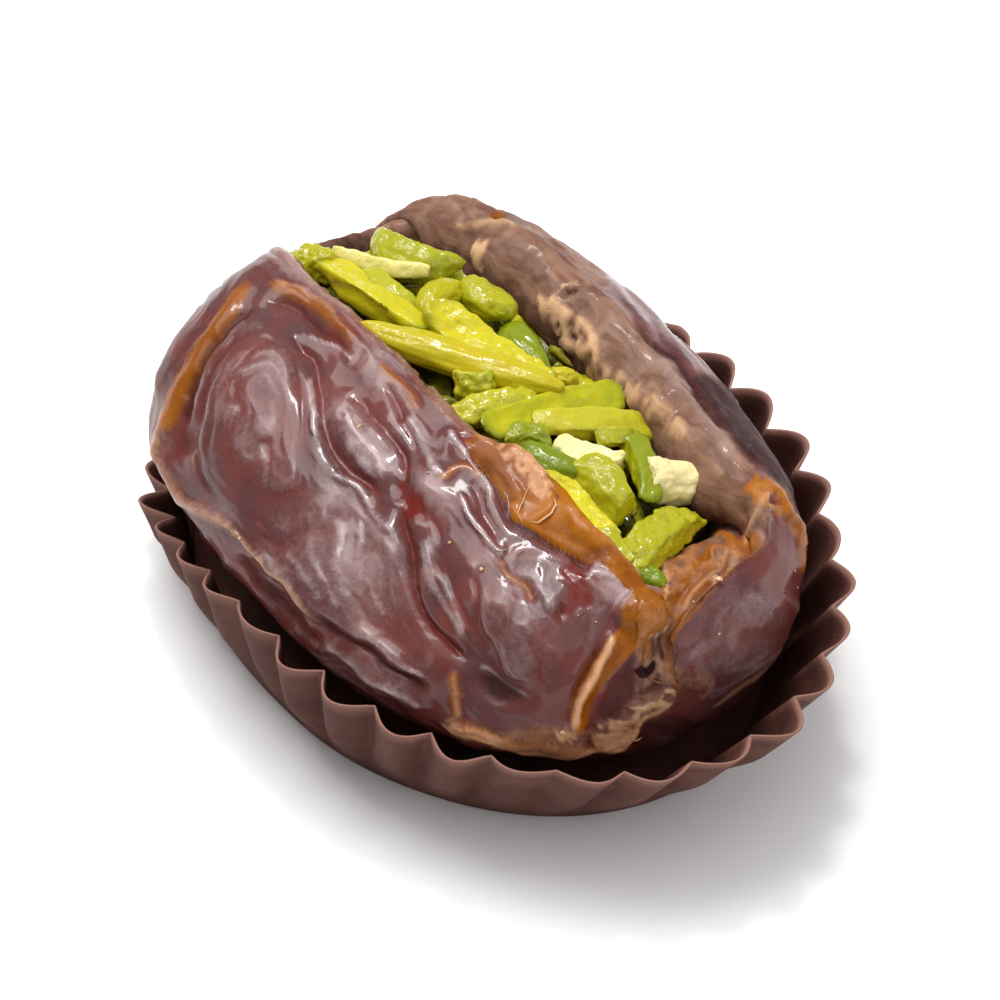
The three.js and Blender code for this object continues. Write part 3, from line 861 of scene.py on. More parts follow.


# Of these marks' hues, the pale one is a painted highlight and the near-black one painted shade.
PHOTO_FOLDS = (
    # The far end: the amber band, and the border of the big pillow inside it.
    Fold(((314, 368), (306, 379), (300, 388), (295, 396), (290, 404), (286, 412), (282, 423), (283, 433),
          (291, 441), (300, 446), (307, 451)), 0.38, 3.0),
    Fold(((314, 368), (306, 379), (300, 388), (295, 396), (290, 404), (286, 412), (283, 421)), 0.0, 2.6,
         AMBER, 0.95),
    Fold(((284, 414), (281.5, 423), (283, 433), (291, 441), (300, 446), (307, 451)), 0.0, 2.6, PEACH, 0.5),
    Fold(((284, 412), (282, 423), (284, 432), (292, 440)), 0.0, 2.2, AMBER, 0.4),
    Fold(((316, 377), (308, 383), (300, 392), (295, 400), (292, 408), (289, 418)), -0.42, 1.4, DARK, 0.55),
    Fold(((316, 384), (309, 388), (303, 394), (298, 402), (296, 411), (295, 421), (297, 431), (302, 441)),
         -0.26, 1.7, DARK, 0.3, 2.0),
    Fold(((313, 381), (305, 388), (299, 395), (295, 404), (292, 413)), 0.12, 1.1, PALE, 0.5),
    # The strip under the left lip, and the crease below it.
    Fold(((315, 370), (324, 373), (334, 378), (341, 384), (346, 392)), 0.22, 2.3, AMBER, 0.6),
    Fold(((317, 369), (325, 371.5), (335, 376.5), (342, 382.5)), 0.05, 1.2, PEACH, 0.5),
    Fold(((318, 376), (326, 378), (333, 384), (339, 388), (345, 394)), -0.34, 1.2, DARK, 0.4),
    Fold(((330, 386), (336, 389), (341, 391), (346, 396)), 0.14, 0.9, PALE, 0.7),
    Fold(((353, 396), (358, 401), (362, 405), (366, 412)), 0.1, 1.6, AMBER, 0.6),
    # The valley between the two big pillows, its foot and its branch.
    Fold(((325, 386), (331, 395), (335, 404), (336, 412), (338, 421), (344, 429), (350, 435), (355, 439)),
         -0.62, 1.7, RED, 0.3),
    Fold(((355, 439), (358, 438), (362, 431), (361, 424), (353, 414), (344, 405)), -0.36, 1.3, RED, 0.55),
    Fold(((331, 400), (333, 410), (333, 421)), 0.14, 1.3, PALE, 0.6),
    Fold(((342, 411), (347, 420), (352, 428), (356, 434)), 0.12, 1.6, PALE, 0.6),
    Fold(((354, 402), (359, 409), (363, 416), (367, 424), (370, 431)), -0.34, 1.2, RED, 0.5),
    Fold(((361, 412), (366, 420), (370, 427), (374, 433)), 0.26, 1.9, PALE, 0.75, 0.6),
    # Thin ridges near the middle of the lip, bright with painted highlights.
    Fold(((374, 417), (379, 422), (384, 428), (388, 435), (389, 441)), 0.2, 0.8, PALE, 0.9),
    Fold(((379, 438), (382, 446), (386, 452), (391, 457), (395, 456)), 0.26, 0.8, PALE, 0.9),
    Fold(((373, 435), (377, 430), (382, 429), (386, 433)), 0.12, 1.2, AMBER, 0.6),
    Fold(((383, 432), (385, 440), (387, 447), (392, 453)), -0.26, 1.3, RED, 0.35),
    # The deep red valley down the middle, and the facet beside it.
    Fold(((359, 441), (360, 448), (364, 457), (364, 466), (368, 478), (376, 487), (383, 494)), -0.7, 1.6, RED,
         0.5),
    Fold(((359, 441), (360, 448), (363, 456), (364, 466)), -0.15, 1.2, DARK, 0.35),
    Fold(((366, 452), (369, 460), (371, 468), (377, 477), (381, 486)), 0.24, 2.0, PALE, 0.55, 0.6),
    Fold(((337, 431), (345, 434), (350, 440), (354, 446), (357, 452)), 0.22, 1.4, PALE, 0.5),
    Fold(((384, 493), (390, 496), (396, 500), (401, 504)), 0.26, 1.2, PALE, 0.5),
    # The amber lip: the crease at its foot, its two channels and its rolled edge.
    Fold(((381, 423), (387, 430), (391, 437), (395, 446), (402, 450.5), (410, 456), (418, 460.5), (426, 463)),
         -0.5, 1.2, DARK, 0.5),
    Fold(((383, 423), (388, 428), (393, 435), (397, 441)), -0.34, 1.8, AMBER, 1.0),
    Fold(((382, 424), (386.5, 429.5), (391, 437), (394, 442)), -0.1, 0.9, DARK, 0.5),
    Fold(((385, 424), (389.5, 430), (394, 437), (398, 443)), 0.0, 2.4, DARK, 0.42),
    Fold(((404, 446.5), (412, 450), (420, 455.5), (428, 461.5)), 0.0, 3.0, DARK, 0.38),
    Fold(((392, 421), (398, 425), (403, 430), (406.5, 435), (408, 440)), 0.32, 1.2, PEACH, 0.5, 1.6),
    Fold(((404, 448), (411, 451), (418, 455), (425, 459)), -0.24, 2.0, AMBER, 1.0),
    Fold(((403, 450), (410, 453), (417, 457), (424, 460.5)), -0.1, 1.0, DARK, 0.4),
    Fold(((410, 442), (417, 446.5), (422, 451.5), (427, 456.5), (432, 462), (438, 468)), 0.3, 1.2, PEACH, 0.4,
         2.0),
    Fold(((369, 404), (374, 408), (380, 414), (387, 419), (392, 420.5)), 0.16, 1.5, PEACH, 0.6),
    Fold(((393, 436), (394.5, 441), (394.5, 446)), 0.12, 0.7, PALE, 0.7),
    Fold(((391, 457.5), (394, 462), (397, 466), (401, 468.5), (403, 474)), -0.22, 1.4, AMBER, 0.45),
    Fold(((420, 461), (427, 465), (433, 470), (431, 476)), 0.26, 2.4, PALE, 0.9),
    # The near end: its knob, its cream-edged orange ridge, the valley beside it and the border below.
    Fold(((440, 470.5), (444, 473), (446, 478), (444.5, 482.5), (439, 484), (434, 482.5)), 0.14, 0.9, PEACH,
         0.7),
    Fold(((432, 484), (437, 485), (439, 489), (436, 492)), 0.3, 1.5, AMBER, 0.8),
    Fold(((440, 484), (441, 489), (440, 493)), -0.3, 0.9, DARK, 0.5),
    Fold(((444, 480), (443, 486), (444.5, 493)), -0.3, 0.9, DARK, 0.6),
    Fold(((443, 496), (441.5, 500)), -0.2, 0.9, DARK, 0.5),
    Fold(((439, 498), (438, 502)), 0.2, 0.8, PEACH, 0.4),
    Fold(((428, 481), (427, 486), (423.5, 492), (420, 499), (417, 505), (415, 511), (413, 515)), 0.75, 3.4,
         PEACH, 0.0, 0.42),
    Fold(((428, 481), (427, 486), (423.5, 492), (420, 499), (417, 505), (415, 511), (413, 515)), 0.1, 1.25,
         PEACH, 0.95),
    Fold(((424.5, 487), (421, 493), (417.5, 499), (415, 506), (413, 511)), -0.5, 1.3, AMBER, 0.7),
    Fold(((424, 487), (420.5, 493), (417, 499), (414.5, 506)), -0.1, 0.9, DARK, 0.45),
    Fold(((410, 516), (413, 514), (416, 516)), 0.3, 2.0, PEACH, 0.9),
    Fold(((371, 507), (381, 512), (395, 517), (411, 518), (420, 520), (434, 515)), 0.3, 2.4, AMBER, 0.45),
    Fold(((372, 463), (376, 470), (379, 478), (381, 485)), 0.16, 1.2, PALE, 0.5),
    Fold(((375, 495), (378, 502), (379, 510)), 0.24, 1.8, AMBER, 0.6),
    Fold(((376, 496), (379, 503), (380, 510)), 0.06, 0.9, PEACH, 0.5),
    Fold(((402, 462), (406, 469), (409, 476)), 0.15, 2.4, PALE, 0.5),
    Fold(((383, 462), (386, 470), (385, 479), (389, 488)), -0.22, 1.6, DARK, 0.25),
    Fold(((399, 482), (403, 490), (404, 499), (400, 510)), -0.22, 2.0, RED, 0.25),
    Fold(((371, 508), (381, 513), (395, 517.5), (410, 518.5), (422, 520)), 0.16, 2.2, PEACH, 0.6),
    Fold(((370, 509.5), (382, 515), (396, 519), (411, 520.3), (424, 520), (432, 517)), 0.2, 1.1, PEACH, 1.0),
    Fold(((424, 519), (430, 517.5), (435, 514), (438, 510.5), (443, 507.5), (449, 504.5)), 0.25, 1.1, PEACH,
         0.9),
    Fold(((436, 502), (440, 500.5), (445, 499.5)), -0.3, 1.2, DARK, 0.5),
    # The lower border of the left panel, and the folds under it.
    Fold(((291, 441), (300, 446), (307, 451), (315, 459), (324, 469), (331, 476), (338, 482)), 0.42, 1.5,
         PEACH, 0.55, 0.6),
    Fold(((305, 456), (314, 465), (322, 474), (329, 481), (336, 487)), -0.42, 1.7, DARK, 0.45),
    Fold(((327, 472), (340, 483), (350, 488), (358, 494), (366, 499), (372, 501)), -0.5, 1.5, DARK, 0.55),
    Fold(((334, 484), (343, 491), (352, 497), (361, 503), (371, 508)), 0.36, 1.8, PALE, 0.5),
    Fold(((346, 480), (354, 487), (362, 493), (370, 497)), 0.2, 1.6, PALE, 0.4),
    # Streaks of the left panel, pale ones painted highlights, with painted shade in a few creases.
    Fold(((314, 455), (320, 462), (326, 470)), 0.06, 1.6, PALE, 0.45),
    Fold(((323, 456), (329, 464), (334, 474)), 0.07, 1.8, PALE, 0.6),
    Fold(((331, 450), (333, 460), (338, 470), (342, 477)), 0.08, 1.8, PALE, 0.6),
    Fold(((340, 443), (342, 453), (340, 462), (345, 473)), 0.08, 1.8, PALE, 0.65),
    Fold(((347, 443), (348, 452), (347, 461), (352, 471), (357, 480)), 0.08, 1.7, PALE, 0.6),
    Fold(((336, 446), (337, 456), (336, 464), (341, 474)), -0.16, 1.0, DARK, 0.3),
    Fold(((315, 450), (321, 455), (328, 453), (330, 446)), -0.18, 1.3, DARK, 0.3),
    Fold(((316, 424), (317, 430), (316, 437)), 0.05, 1.4, PALE, 0.5),
    Fold(((308, 412), (306, 421), (309, 431), (315, 439), (324, 441)), -0.12, 1.3, DARK, 0.2),
    Fold(((326, 398), (329, 410), (329, 422), (335, 433)), -0.12, 1.6, DARK, 0.2),
    # The right wall: the edge of its torn flesh, the creases of its skin and the lobe at its near end.
    Fold(((425, 374), (436, 388), (448, 403), (458, 416), (474, 432)), 0.15, 0.9, PALE, 0.3),
    Fold(((403, 383), (408, 387), (412, 392), (418, 398), (425, 404), (432, 410), (440, 415)), -0.3, 1.3,
         DARK, 0.5),
    Fold(((411, 374), (414.5, 372.5), (418, 371.3)), -0.3, 0.9, DARK, 0.7),
    Fold(((411.5, 371.8), (414.5, 370.3), (417.5, 369.2)), 0.2, 0.8, PEACH, 0.75),
    Fold(((414, 382.5), (415.8, 385.5), (418.5, 388.5)), -0.5, 1.0, DARK, 0.9),
    Fold(((407, 375.5), (410, 378), (412, 381), (413.5, 384)), 0.35, 0.9, PEACH, 1.0),
    Fold(((403.5, 381), (408, 383), (411, 387), (414, 391), (418, 393.5), (421, 393)), 0.35, 0.9, PEACH, 1.0),
    Fold(((416, 380.5), (419.5, 384), (422, 388), (423.5, 393), (424, 398)), 0.3, 1.0, PEACH, 0.95),
    Fold(((420.5, 395), (422, 401), (426, 404.5), (431, 407.5), (437, 411.5)), 0.3, 0.9, PEACH, 0.9),
    Fold(((426, 396), (433, 402), (441, 408), (448, 413), (455, 420)), 0.2, 1.0, PEACH, 0.7),
    Fold(((409, 380.5), (411, 384), (413, 387.5)), -0.3, 0.8, DARK, 0.7),
    Fold(((406, 362), (406.5, 369), (407, 376)), -0.2, 0.9, DARK, 0.35),
    Fold(((408, 362), (409, 369), (409, 375)), 0.12, 0.9, PEACH, 0.35),
    Fold(((376, 351), (383, 352), (391, 350.5), (399, 353)), 0.18, 1.3, PEACH, 0.65),
    Fold(((440, 411), (449, 418), (456, 425), (466, 434)), 0.16, 1.6, PEACH, 0.5),
    Fold(((444, 474), (445, 466), (446, 459), (450, 452), (454, 444)), 0.25, 1.0, PEACH, 0.75),
    Fold(((449, 476), (452, 466), (458, 457), (462, 452)), -0.2, 1.2, AMBER, 0.8),
    Fold(((450, 478), (455, 470), (461, 463), (466, 459)), 0.16, 1.0, PEACH, 0.5),
    Fold(((432, 380), (441, 388), (449, 396), (458, 409), (467, 420)), -0.3, 1.4, DARK, 0.6),
    Fold(((424, 367), (432, 375), (442, 384)), 0.2, 1.3, PALE, 0.4),
    Fold(((440, 390), (450, 403), (460, 415), (470, 427)), 0.2, 1.4, PALE, 0.45),
    Fold(((477, 434), (482, 440), (486, 448), (488, 457), (488, 466)), 0.35, 1.5, AMBER, 0.75),
    Fold(((480, 445), (484, 452), (485.5, 460), (485, 468)), 0.0, 1.8, RED, 0.45),
    Fold(((476, 436), (475, 441), (473, 447), (471, 452), (472, 456)), 0.24, 1.3, PEACH, 0.55),
    Fold(((470, 440), (470, 447), (468, 453)), -0.3, 1.4, RED, 0.5),
    Fold(((469, 455), (461, 466), (453, 477), (446, 488), (448, 499), (455, 507)), -0.25, 1.4, AMBER, 0.5),
    Fold(((488, 470), (486, 482), (479, 493), (469, 501), (457, 508)), 0.2, 1.1, PEACH, 0.55),
    Fold(((462, 472), (458, 482), (460, 493)), -0.14, 1.8, DARK, 0.3),
    Fold(((474, 462), (478, 472), (475, 484)), 0.12, 2.2, PALE, 0.3),
    Fold(((446, 510), (456, 513), (466, 509), (478, 501)), -0.4, 3.0, RED, 0.5),
    Fold(((438, 512), (446, 511), (455, 514)), 0.2, 1.2, PALE, 0.35),
)

# Of these patches' hues, the greyish one is a painted sheen, the pale one a painted highlight and the
# near-black one painted shade.
PHOTO_PATCHES = (
    Patch((314, 409), (18, 30), -12, 0.3, SHEEN_HAZE, 0.28),
    Patch((348, 419), (5.5, 17), -32, 0.42, SHEEN_HAZE, 0.8),
    Patch((291, 421), (3.5, 6), 10, -0.4, DARK, 0.4),
    Patch((364, 441), (5.5, 6.5), -20, -0.6, RED, 1.0),
    Patch((370, 448), (6, 5), 0, -0.1, RED, 0.4),
    Patch((438, 476.5), (7.2, 6.4), 0, 1.3, AMBER, 1.0),
    Patch((439, 475), (5.0, 4.0), 20, 0.0, PEACH, 0.28),
    Patch((347, 425), (2.6, 8.5), -30, 0.12, PALE, 0.95),
    Patch((392, 501), (9, 5.5), 25, -0.4, DARK, 0.6),
    Patch((393, 478), (8, 12), -30, 0.4),
    Patch((404, 487), (8, 11), 0, 0.2, SHEEN_HAZE, 0.4),
    Patch((372, 438), (4, 9), -30, 0.1, SHEEN_HAZE, 0.8),
    Patch((352, 455), (6, 13), -20, 0.1, SHEEN_HAZE, 0.55),
    Patch((384, 470), (4, 10), -20, 0.1, RED, 0.3),
    Patch((345, 460), (28, 19), 40, 0.0, SHEEN_HAZE, 0.64),
    Patch((343, 490), (12, 5), 35, -0.2, DARK, 0.4),
    Patch((300, 445), (9, 6), 40, -0.1, SHEEN_HAZE, 0.6),
    Patch((352, 397), (13, 6), 45, 0.1, SHEEN_HAZE, 0.8),
    Patch((330, 368), (17, 4), 38, 0.0, SHEEN_HAZE, 1.0),
    Patch((408, 515), (22, 3.5), 0, 0.0, PEACH, 0.45),
    Patch((378, 411), (6, 10), -50, 0.0, SHEEN_HAZE, 0.6),
    Patch((391, 348), (3.5, 1.8), 0, -0.35, AMBER, 0.6),
    Patch((391, 348.4), (2.4, 1.2), 0, -0.1, DARK, 0.45),
    Patch((471, 454), (6, 4.5), -30, 0.0, AMBER, 0.6),
    Patch((455, 463), (8, 5), -40, 0.0, AMBER, 0.45),
    Patch((461, 465.5), (1.6, 1.1), 0, 0.25, PEACH, 1.0),
    Patch((467, 478), (14, 18), 30, 0.4, DARK, 0.1),
    Patch((466, 478), (13, 18), 30, 0.0, SHEEN_HAZE, 0.36),
    Patch((468, 490), (12, 8), -20, 0.0, SHEEN_HAZE, 0.55),
    Patch((454, 470), (5, 9), 30, 0.0, AMBER, 0.45),
    Patch((465, 459), (7, 5), -45, 0.0, PEACH, 0.45),
    Patch((394, 476), (12, 16), -30, 0.0, SHEEN_HAZE, 0.35),
    Patch((386, 458), (8, 6), 40, 0.0, SHEEN_HAZE, 0.5),
    Patch((427, 469), (7, 3.5), 40, 0.0, SHEEN_HAZE, 1.0),
    Patch((428, 467.5), (5.5, 2.4), 40, 0.04, PALE, 0.7),
)

# Of these areas' hues, the near-black one is painted shade.
PHOTO_AREAS = (
    # The two lobes of the amber lip.
    Area(((381, 421), (389, 419.5), (394, 421), (399, 425), (403.5, 429), (407, 434), (409, 438), (409, 442),
          (405, 446), (400, 447), (396, 446), (394, 440), (390, 434), (386, 428)), 0.15, AMBER, 1.0),
    Area(((398, 447), (404, 445), (410, 440.5), (417, 445), (423, 450.5), (428, 456), (433, 462), (437, 467),
          (430, 463.5), (424, 461), (417, 459), (410, 455), (404, 450.5)), 0.15, AMBER, 1.0),
    Area(((411, 463), (416, 461), (420, 466), (420, 473), (416, 476), (413, 479), (410, 478), (413, 471)),
         -0.3, RED, 1.0, 4.5, 0.1),
    Area(((390, 420), (398, 423.5), (404, 428.5), (408, 434), (409, 440), (405, 441), (401, 436), (396, 430),
          (391, 425)), 0.05, PEACH, 0.72, 1.6, 0.05),
    # The amber side of the near ridge, the facet beside it, and the gap at its right, with painted shade on
    # the facet and in the gap.
    Area(((434, 479), (429, 482), (426.5, 487), (423.5, 492), (420, 499), (417, 505), (414.5, 512),
          (418, 514), (421.5, 506), (425, 499), (429, 493), (435, 488), (439, 484)), 0.0, AMBER, 1.0, 2.6),
    Area(((433, 490), (436, 497), (435.5, 503), (431, 508), (426, 512), (423.5, 510), (425.5, 503),
          (428.5, 496)), -0.4, DARK, 0.45, 3.0),
    Area(((437, 484), (446, 481), (447.5, 486), (446.5, 493), (448.5, 500), (448, 505), (443, 509),
          (435, 511), (431, 508), (436, 502), (436, 497), (438, 490)), -0.1, FLESH, 1.0, 1.6, 0.06),
    Area(((434.5, 494), (437, 493), (439, 494), (442, 492), (442.5, 494.5), (440.5, 496.8), (437, 497.3)),
         -0.3, DARK, 1.0, 1.4),
    Area(((421, 513.5), (426, 510.5), (431, 508.5), (436, 505.5), (441, 502.5), (447, 500.5), (449, 503),
          (445, 506.5), (440, 509), (437, 512.5), (434, 517), (428, 519.5), (421, 519.5)), 0.3, PEACH, 0.72,
         1.2, 0.1),
    # The torn edge of the right wall's flesh, and a pale lump beside it, with painted shade beside the lump.
    Area(((403, 380), (406, 375), (411, 375.5), (415, 379), (418, 383), (422, 388), (423, 393), (419, 394),
          (414, 391), (410, 389), (411, 385), (408, 383)), 0.22, PEACH, 0.85, 1.0, 0.08),
    Area(((419, 391), (424, 393), (427, 397), (433, 402), (441, 408), (449, 414), (457, 422), (452, 423.5),
          (444, 418), (436, 412), (428, 406), (421, 402), (419, 396)), 0.16, PEACH, 0.66, 1.4, 0.08),
    Area(((382.5, 356), (387, 355.5), (388.5, 360), (386.5, 366), (383.5, 366), (382, 361)), 0.2, PEACH, 0.95,
         1.4, 0.12),
    Area(((378, 352), (386, 352.5), (383, 356), (382, 366), (378, 368), (375, 360)), -0.2, DARK, 0.35, 2.0),
    # The flesh that runs over the far lobe and the right wall's edge, and the golden flesh at the near end.
    Area(((376, 342), (390, 341), (402, 344), (412, 356), (420, 363), (425, 370), (423, 374), (410, 364),
          (398, 354), (384, 350)), 0.0, FLESH, 1.0, 2.0),
    Area(((444, 458), (450, 452), (458, 449), (467, 450), (471, 457), (466, 464), (459, 470), (453, 477),
          (449, 484), (446, 490), (443, 483), (442, 472)), 0.0, AMBER, 0.55, 2.0, 0.1),
    Area(((447, 457), (455, 453), (464, 455), (462, 461), (454, 466), (448, 472), (445, 466)), 0.1, PEACH,
         0.38, 2.0, 0.1),
    Area(((469, 436), (475, 432.5), (481, 434), (486, 440), (489, 449), (488, 458), (484, 452), (480, 445),
          (474, 442)), 0.1, AMBER, 0.62, 2.2, 0.08),
    Area(((471, 437), (476, 434.5), (480, 437), (482, 442), (479, 446), (476, 447), (473, 442)), 0.0, PEACH,
         0.35, 1.6, 0.1),
    # Painted shade on the right wall's outside and under the right lobe.
    Area(((450, 399), (458, 399), (467, 403), (480, 411), (492, 426), (500, 446), (491, 452), (482, 438),
          (471, 426), (460, 412)), 0.0, DARK, 0.64, 5.0),
    Area(((435, 514), (447, 508), (457, 510), (466, 507), (477, 499), (486, 489), (490, 476), (500, 476),
          (497, 494), (482, 512), (462, 524), (440, 526), (434, 520)), 0.0, DARK, 0.5, 3.0),
)


def tint(hues: dict[Hue, Array], hue: Hue, strength: Array) -> None:
    """Adds to a colour mask, which keeps the stronger of what it has and what it gets."""
    hues[hue][:] = np.maximum(hues[hue], strength)


@dataclass(frozen=True)
class DateForm:
    """The bare form of the slit date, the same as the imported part's, in millimetres and degrees.

    An angle runs round the section from its foot, with the left half negative, and u runs from -1 at the far
    tip to 1 at the near tip. Each lip is given by places u and by how many degrees off the top it lies there.
    """

    far_reach: float = 23.6
    near_reach: float = 22.8
    width: float = 35.0
    height: float = 19.6
    middle: float = 10.45
    flesh: float = 4.4
    left_lip_flesh: float = 3.2
    right_lip_flesh: float = 5.2
    solid_end: float = 5.0
    far_bluntness: float = 0.38
    near_bluntness: float = 0.72
    height_bluntness: float = 0.8
    lip_rounding: float = 0.34
    notch_depth: float = 1.4
    notch_margin: float = 0.12
    hollow_share: float = 0.2
    wall_lift: float = 2.4
    wall_from: float = 80.0
    wall_over: float = 54.0
    wall_near_end: float = 0.2
    left_lip: Bends = ((-1, -0.5, 0.2, 0.6, 0.85, 1), (11, 11, 13, 12, 40, 44))
    right_lip: Bends = ((-1, -0.7, -0.3, 0.3, 0.6, 0.8, 1), (75, 61, 50, 48, 44, -10, -38))

    @property
    def degree(self) -> float:
        """The length of one degree round the section's mean radius."""
        return math.radians(1.0) * (self.width + self.height) / 4.0

    def section(self, u: Array) -> tuple[Array, Array]:
        """Where the section at u is along X, and how full it is, from 0 to 1."""
        turn = np.radians(90.0 * u)
        reach = np.where(u < 0, self.far_reach, self.near_reach)
        bluntness = np.where(u < 0, self.far_bluntness, self.near_bluntness)
        fullness = np.where(np.abs(u) < 1, np.maximum(np.cos(turn), 0.0) ** bluntness, 0.0)
        return reach * np.sin(turn), fullness

    def place_at(self, x: Array) -> Array:
        """The u that lies at x."""
        reach = np.where(x < 0, self.far_reach, self.near_reach)
        return np.arcsin(np.clip(x / reach, -1, 1)) / (math.pi / 2)

    def lips(self, u: Array) -> tuple[Array, Array]:
        """The angles of the left and the right lip at u."""
        return through(*self.left_lip, u) - 180.0, 180.0 - through(*self.right_lip, u)

    def skin(self, u: Array, angle: Array, inset: Array | float = 0.0, raised: Array | float = 0.0) -> Array:
        """Places points of the skin or, with flesh taken off, of the hollow.

        Args:
            u: The sections.
            angle: The angles round them.
            inset: How far inside the skin the points lie.
            raised: How far they stand proud of the bare form.

        Returns:
            The points, (..., 3).
        """
        x, fullness = self.section(u)
        half_width = self.width / 2 * fullness
        half_height = self.height / 2 * fullness**self.height_bluntness
        turn = np.radians(angle)
        wide = np.maximum(half_width - inset, half_width * self.hollow_share) + raised
        high = np.maximum(half_height - inset, half_height * self.hollow_share) + raised
        up = np.clip((angle - self.wall_from) / self.wall_over, 0, 1)
        lifted = self.wall_lift * up * np.clip(self.wall_near_end - u, 0, 1) * fullness
        y = wide * np.sin(turn)
        z = self.middle - high * np.cos(turn) + lifted
        return np.stack(np.broadcast_arrays(x, y, z), axis=-1)

    def heap_top(self, x: Array, across: Array, crown: float = 1.1) -> Array:
        """Points of the heap's top, which lies between the lips.

        Args:
            x: Where along the date.
            across: From 0 at the left lip to 1 at the right one.
            crown: How far the heap swells up between them.

        Returns:
            The points, (..., 3).
        """
        u = self.place_at(x)
        left_angle, right_angle = self.lips(u)
        left = self.skin(u, left_angle, self.left_lip_flesh * 0.45)
        right = self.skin(u, right_angle, self.right_lip_flesh * 0.75)
        across = np.asarray(across, float)
        point = mixed(left, right, across[..., None])
        point[..., 2] += crown * np.sin(math.pi * across)
        return point


@dataclass
class Date:
    """The slit date: its wrinkled skin, its torn flesh lips and the hollow between them."""

    view: PhotoView
    form: DateForm = field(default_factory=DateForm)
    # The grid: its rows along the date, and its steps round the skin, the lips and the hollow.
    rows: int = 260
    outer_steps: int = 300
    seen_share: float = 0.55
    seen_turn: float = 0.4
    lip_steps: int = 15
    inner_steps: int = 40
    wall_share: float = 0.36
    wall_steps_share: float = 0.64
    # How much of the part's own folds is kept.
    coarse_share: float = 0.6
    # The lips: how far they wander, in degrees, and where along X the left one bulges.
    lip_jag: float = 2.2
    left_jag_share: float = 0.4
    jags_per_mm: float = 0.45
    lip_bulge: float = 5.2
    lip_bulge_start: Span = (1.5, 7.0)
    lip_bulge_end: Span = (10.0, 17.0)
    lip_blend: Span = (0.0, 0.1)
    # The near end of the hollow, and the swell of flesh there, which rises and falls across it.
    near_hollow: float = 16.6
    near_notch: float = 2.3
    near_notch_start: Span = (6.0, 10.0)
    near_notch_end: Span = (14.5, 18.5)
    swell: float = 2.2
    swell_start: Span = (8.0, 14.0)
    swell_rise: Span = (0.0, 0.14)
    swell_fall: Span = (0.42, 0.7)
    # Where the skin ends on the left lip, and which stretch of that lip is amber.
    skin_under_lip: Span = (1.9, 0.1)
    torn_start: Span = (-4.0, -2.0)
    torn_end: Span = (1.0, 3.0)
    amber_start: Span = (1.5, 3.5)
    amber_end: Span = (18.5, 20.0)
    # What counts as seen and as marked, by how far it faces the view, and the painted shade in the hollow.
    seen_facing: Span = (0.02, 0.25)
    marked_facing: Span = (-0.09, 0.02)
    shade: float = 0.5
    shade_reach: Span = (3.0, 7.0)
    near_light: float = 0.8
    # The marks: how far their lines wander, in the photograph's pixels, and how sharp they are.
    wander: float = 1.1
    wander_size: float = 9.0
    fold_ends: Span = (0.0, 0.14)
    crest_sharpness: float = 1.6
    crease_sharpness: float = 1.15
    tone_spread: float = 1.15
    ring_reach: float = 4.0
    # The torn places, and the wrinkles between the marks, by their width and length in pixels.
    ragged_size: float = 2.6
    torn_size: float = 4.2
    torn_sharpness: float = 2.4
    torn_tone: float = 0.42
    wide_wrinkle: Span = (3.4, 26.0)
    wide_rise: float = 0.13
    fine_wrinkle: Span = (1.5, 15.0)
    fine_rise: float = 0.045
    # How crests and valleys are told apart.
    cavity_depth: float = 0.12
    cavity_rounds: int = 8
    # The part's own folds: their points as (X, angle), their height and their width.
    part_folds: tuple = (
        ((-20, -164), (-20.5, -135), (-20, -112), 0.8, 1.8),
        ((-14, -138), (-8, -120), 1.0, 6),
        ((-15, -160), (-5, -152), (1, -134), -0.9, 1.7),
        ((0, -150), (3, -128), (9, -112), -1.2, 1.9),
        ((4, -152), (14, -136), 0.9, 3.4),
        ((6, -144), (17, -116), -0.9, 1.8),
        ((-4, -106), (10, -100), 0.6, 2.6),
        ((16, -158), (18.5, -125), (17, -82), 1.3, 1.6),
        ((-17, -94), (0, -86), (16, -80), 0.7, 2),
        ((-17, -66), (2, -58), (15, -60), -1.1, 2.1),
        ((-14, -28), (0, -18), (14, -30), -0.6, 2.4),
        ((-16, 42), (0, 48), (15, 40), -1.1, 2.1),
        ((-12, 66), (10, 70), 0.5, 3),
        ((-19, 92), (-3, 88), (12, 98), -1.1, 1.8),
        ((-16, 110), (4, 112), 0.6, 2.6),
        ((-21, 60), (-20, 108), -0.8, 1.8),
        ((14, 128), (18, 150), 1.5, 6),
        ((17, -44), (19.5, -8), (17.5, 36), -1.4, 4.5),
        ((-17, 122), (-12, 124), 0.6, 4),
    )
    # The finished surface where it is seen: its points, the ways that they face, and their pixels.
    surface: Array = field(init=False)
    ways: Array = field(init=False)
    pixels: Array = field(init=False)

    def stations(self) -> Array:
        """Places u from tip to tip, spread evenly over the skin."""
        fine = np.linspace(-1.0, 1.0, 4001)
        x, fullness = self.form.section(fine)
        return evenly_spread(fine, np.hypot(np.diff(x), np.diff(fullness) * self.form.width / 2), self.rows)

    def coarse_relief(self, x: Array, angle: Array) -> Array:
        """The part's own folds, which this skin's finer ones lie on."""
        flat = np.stack([x, angle * self.form.degree], axis=-1).reshape(-1, 2)
        height = np.zeros(len(flat))
        for *line, rise, width in self.part_folds:
            drawn = np.array([(px, turn * self.form.degree) for px, turn in line])
            distance, _, _ = line_reach(flat, drawn)
            height += rise * bell(distance, width)
        return height.reshape(x.shape)

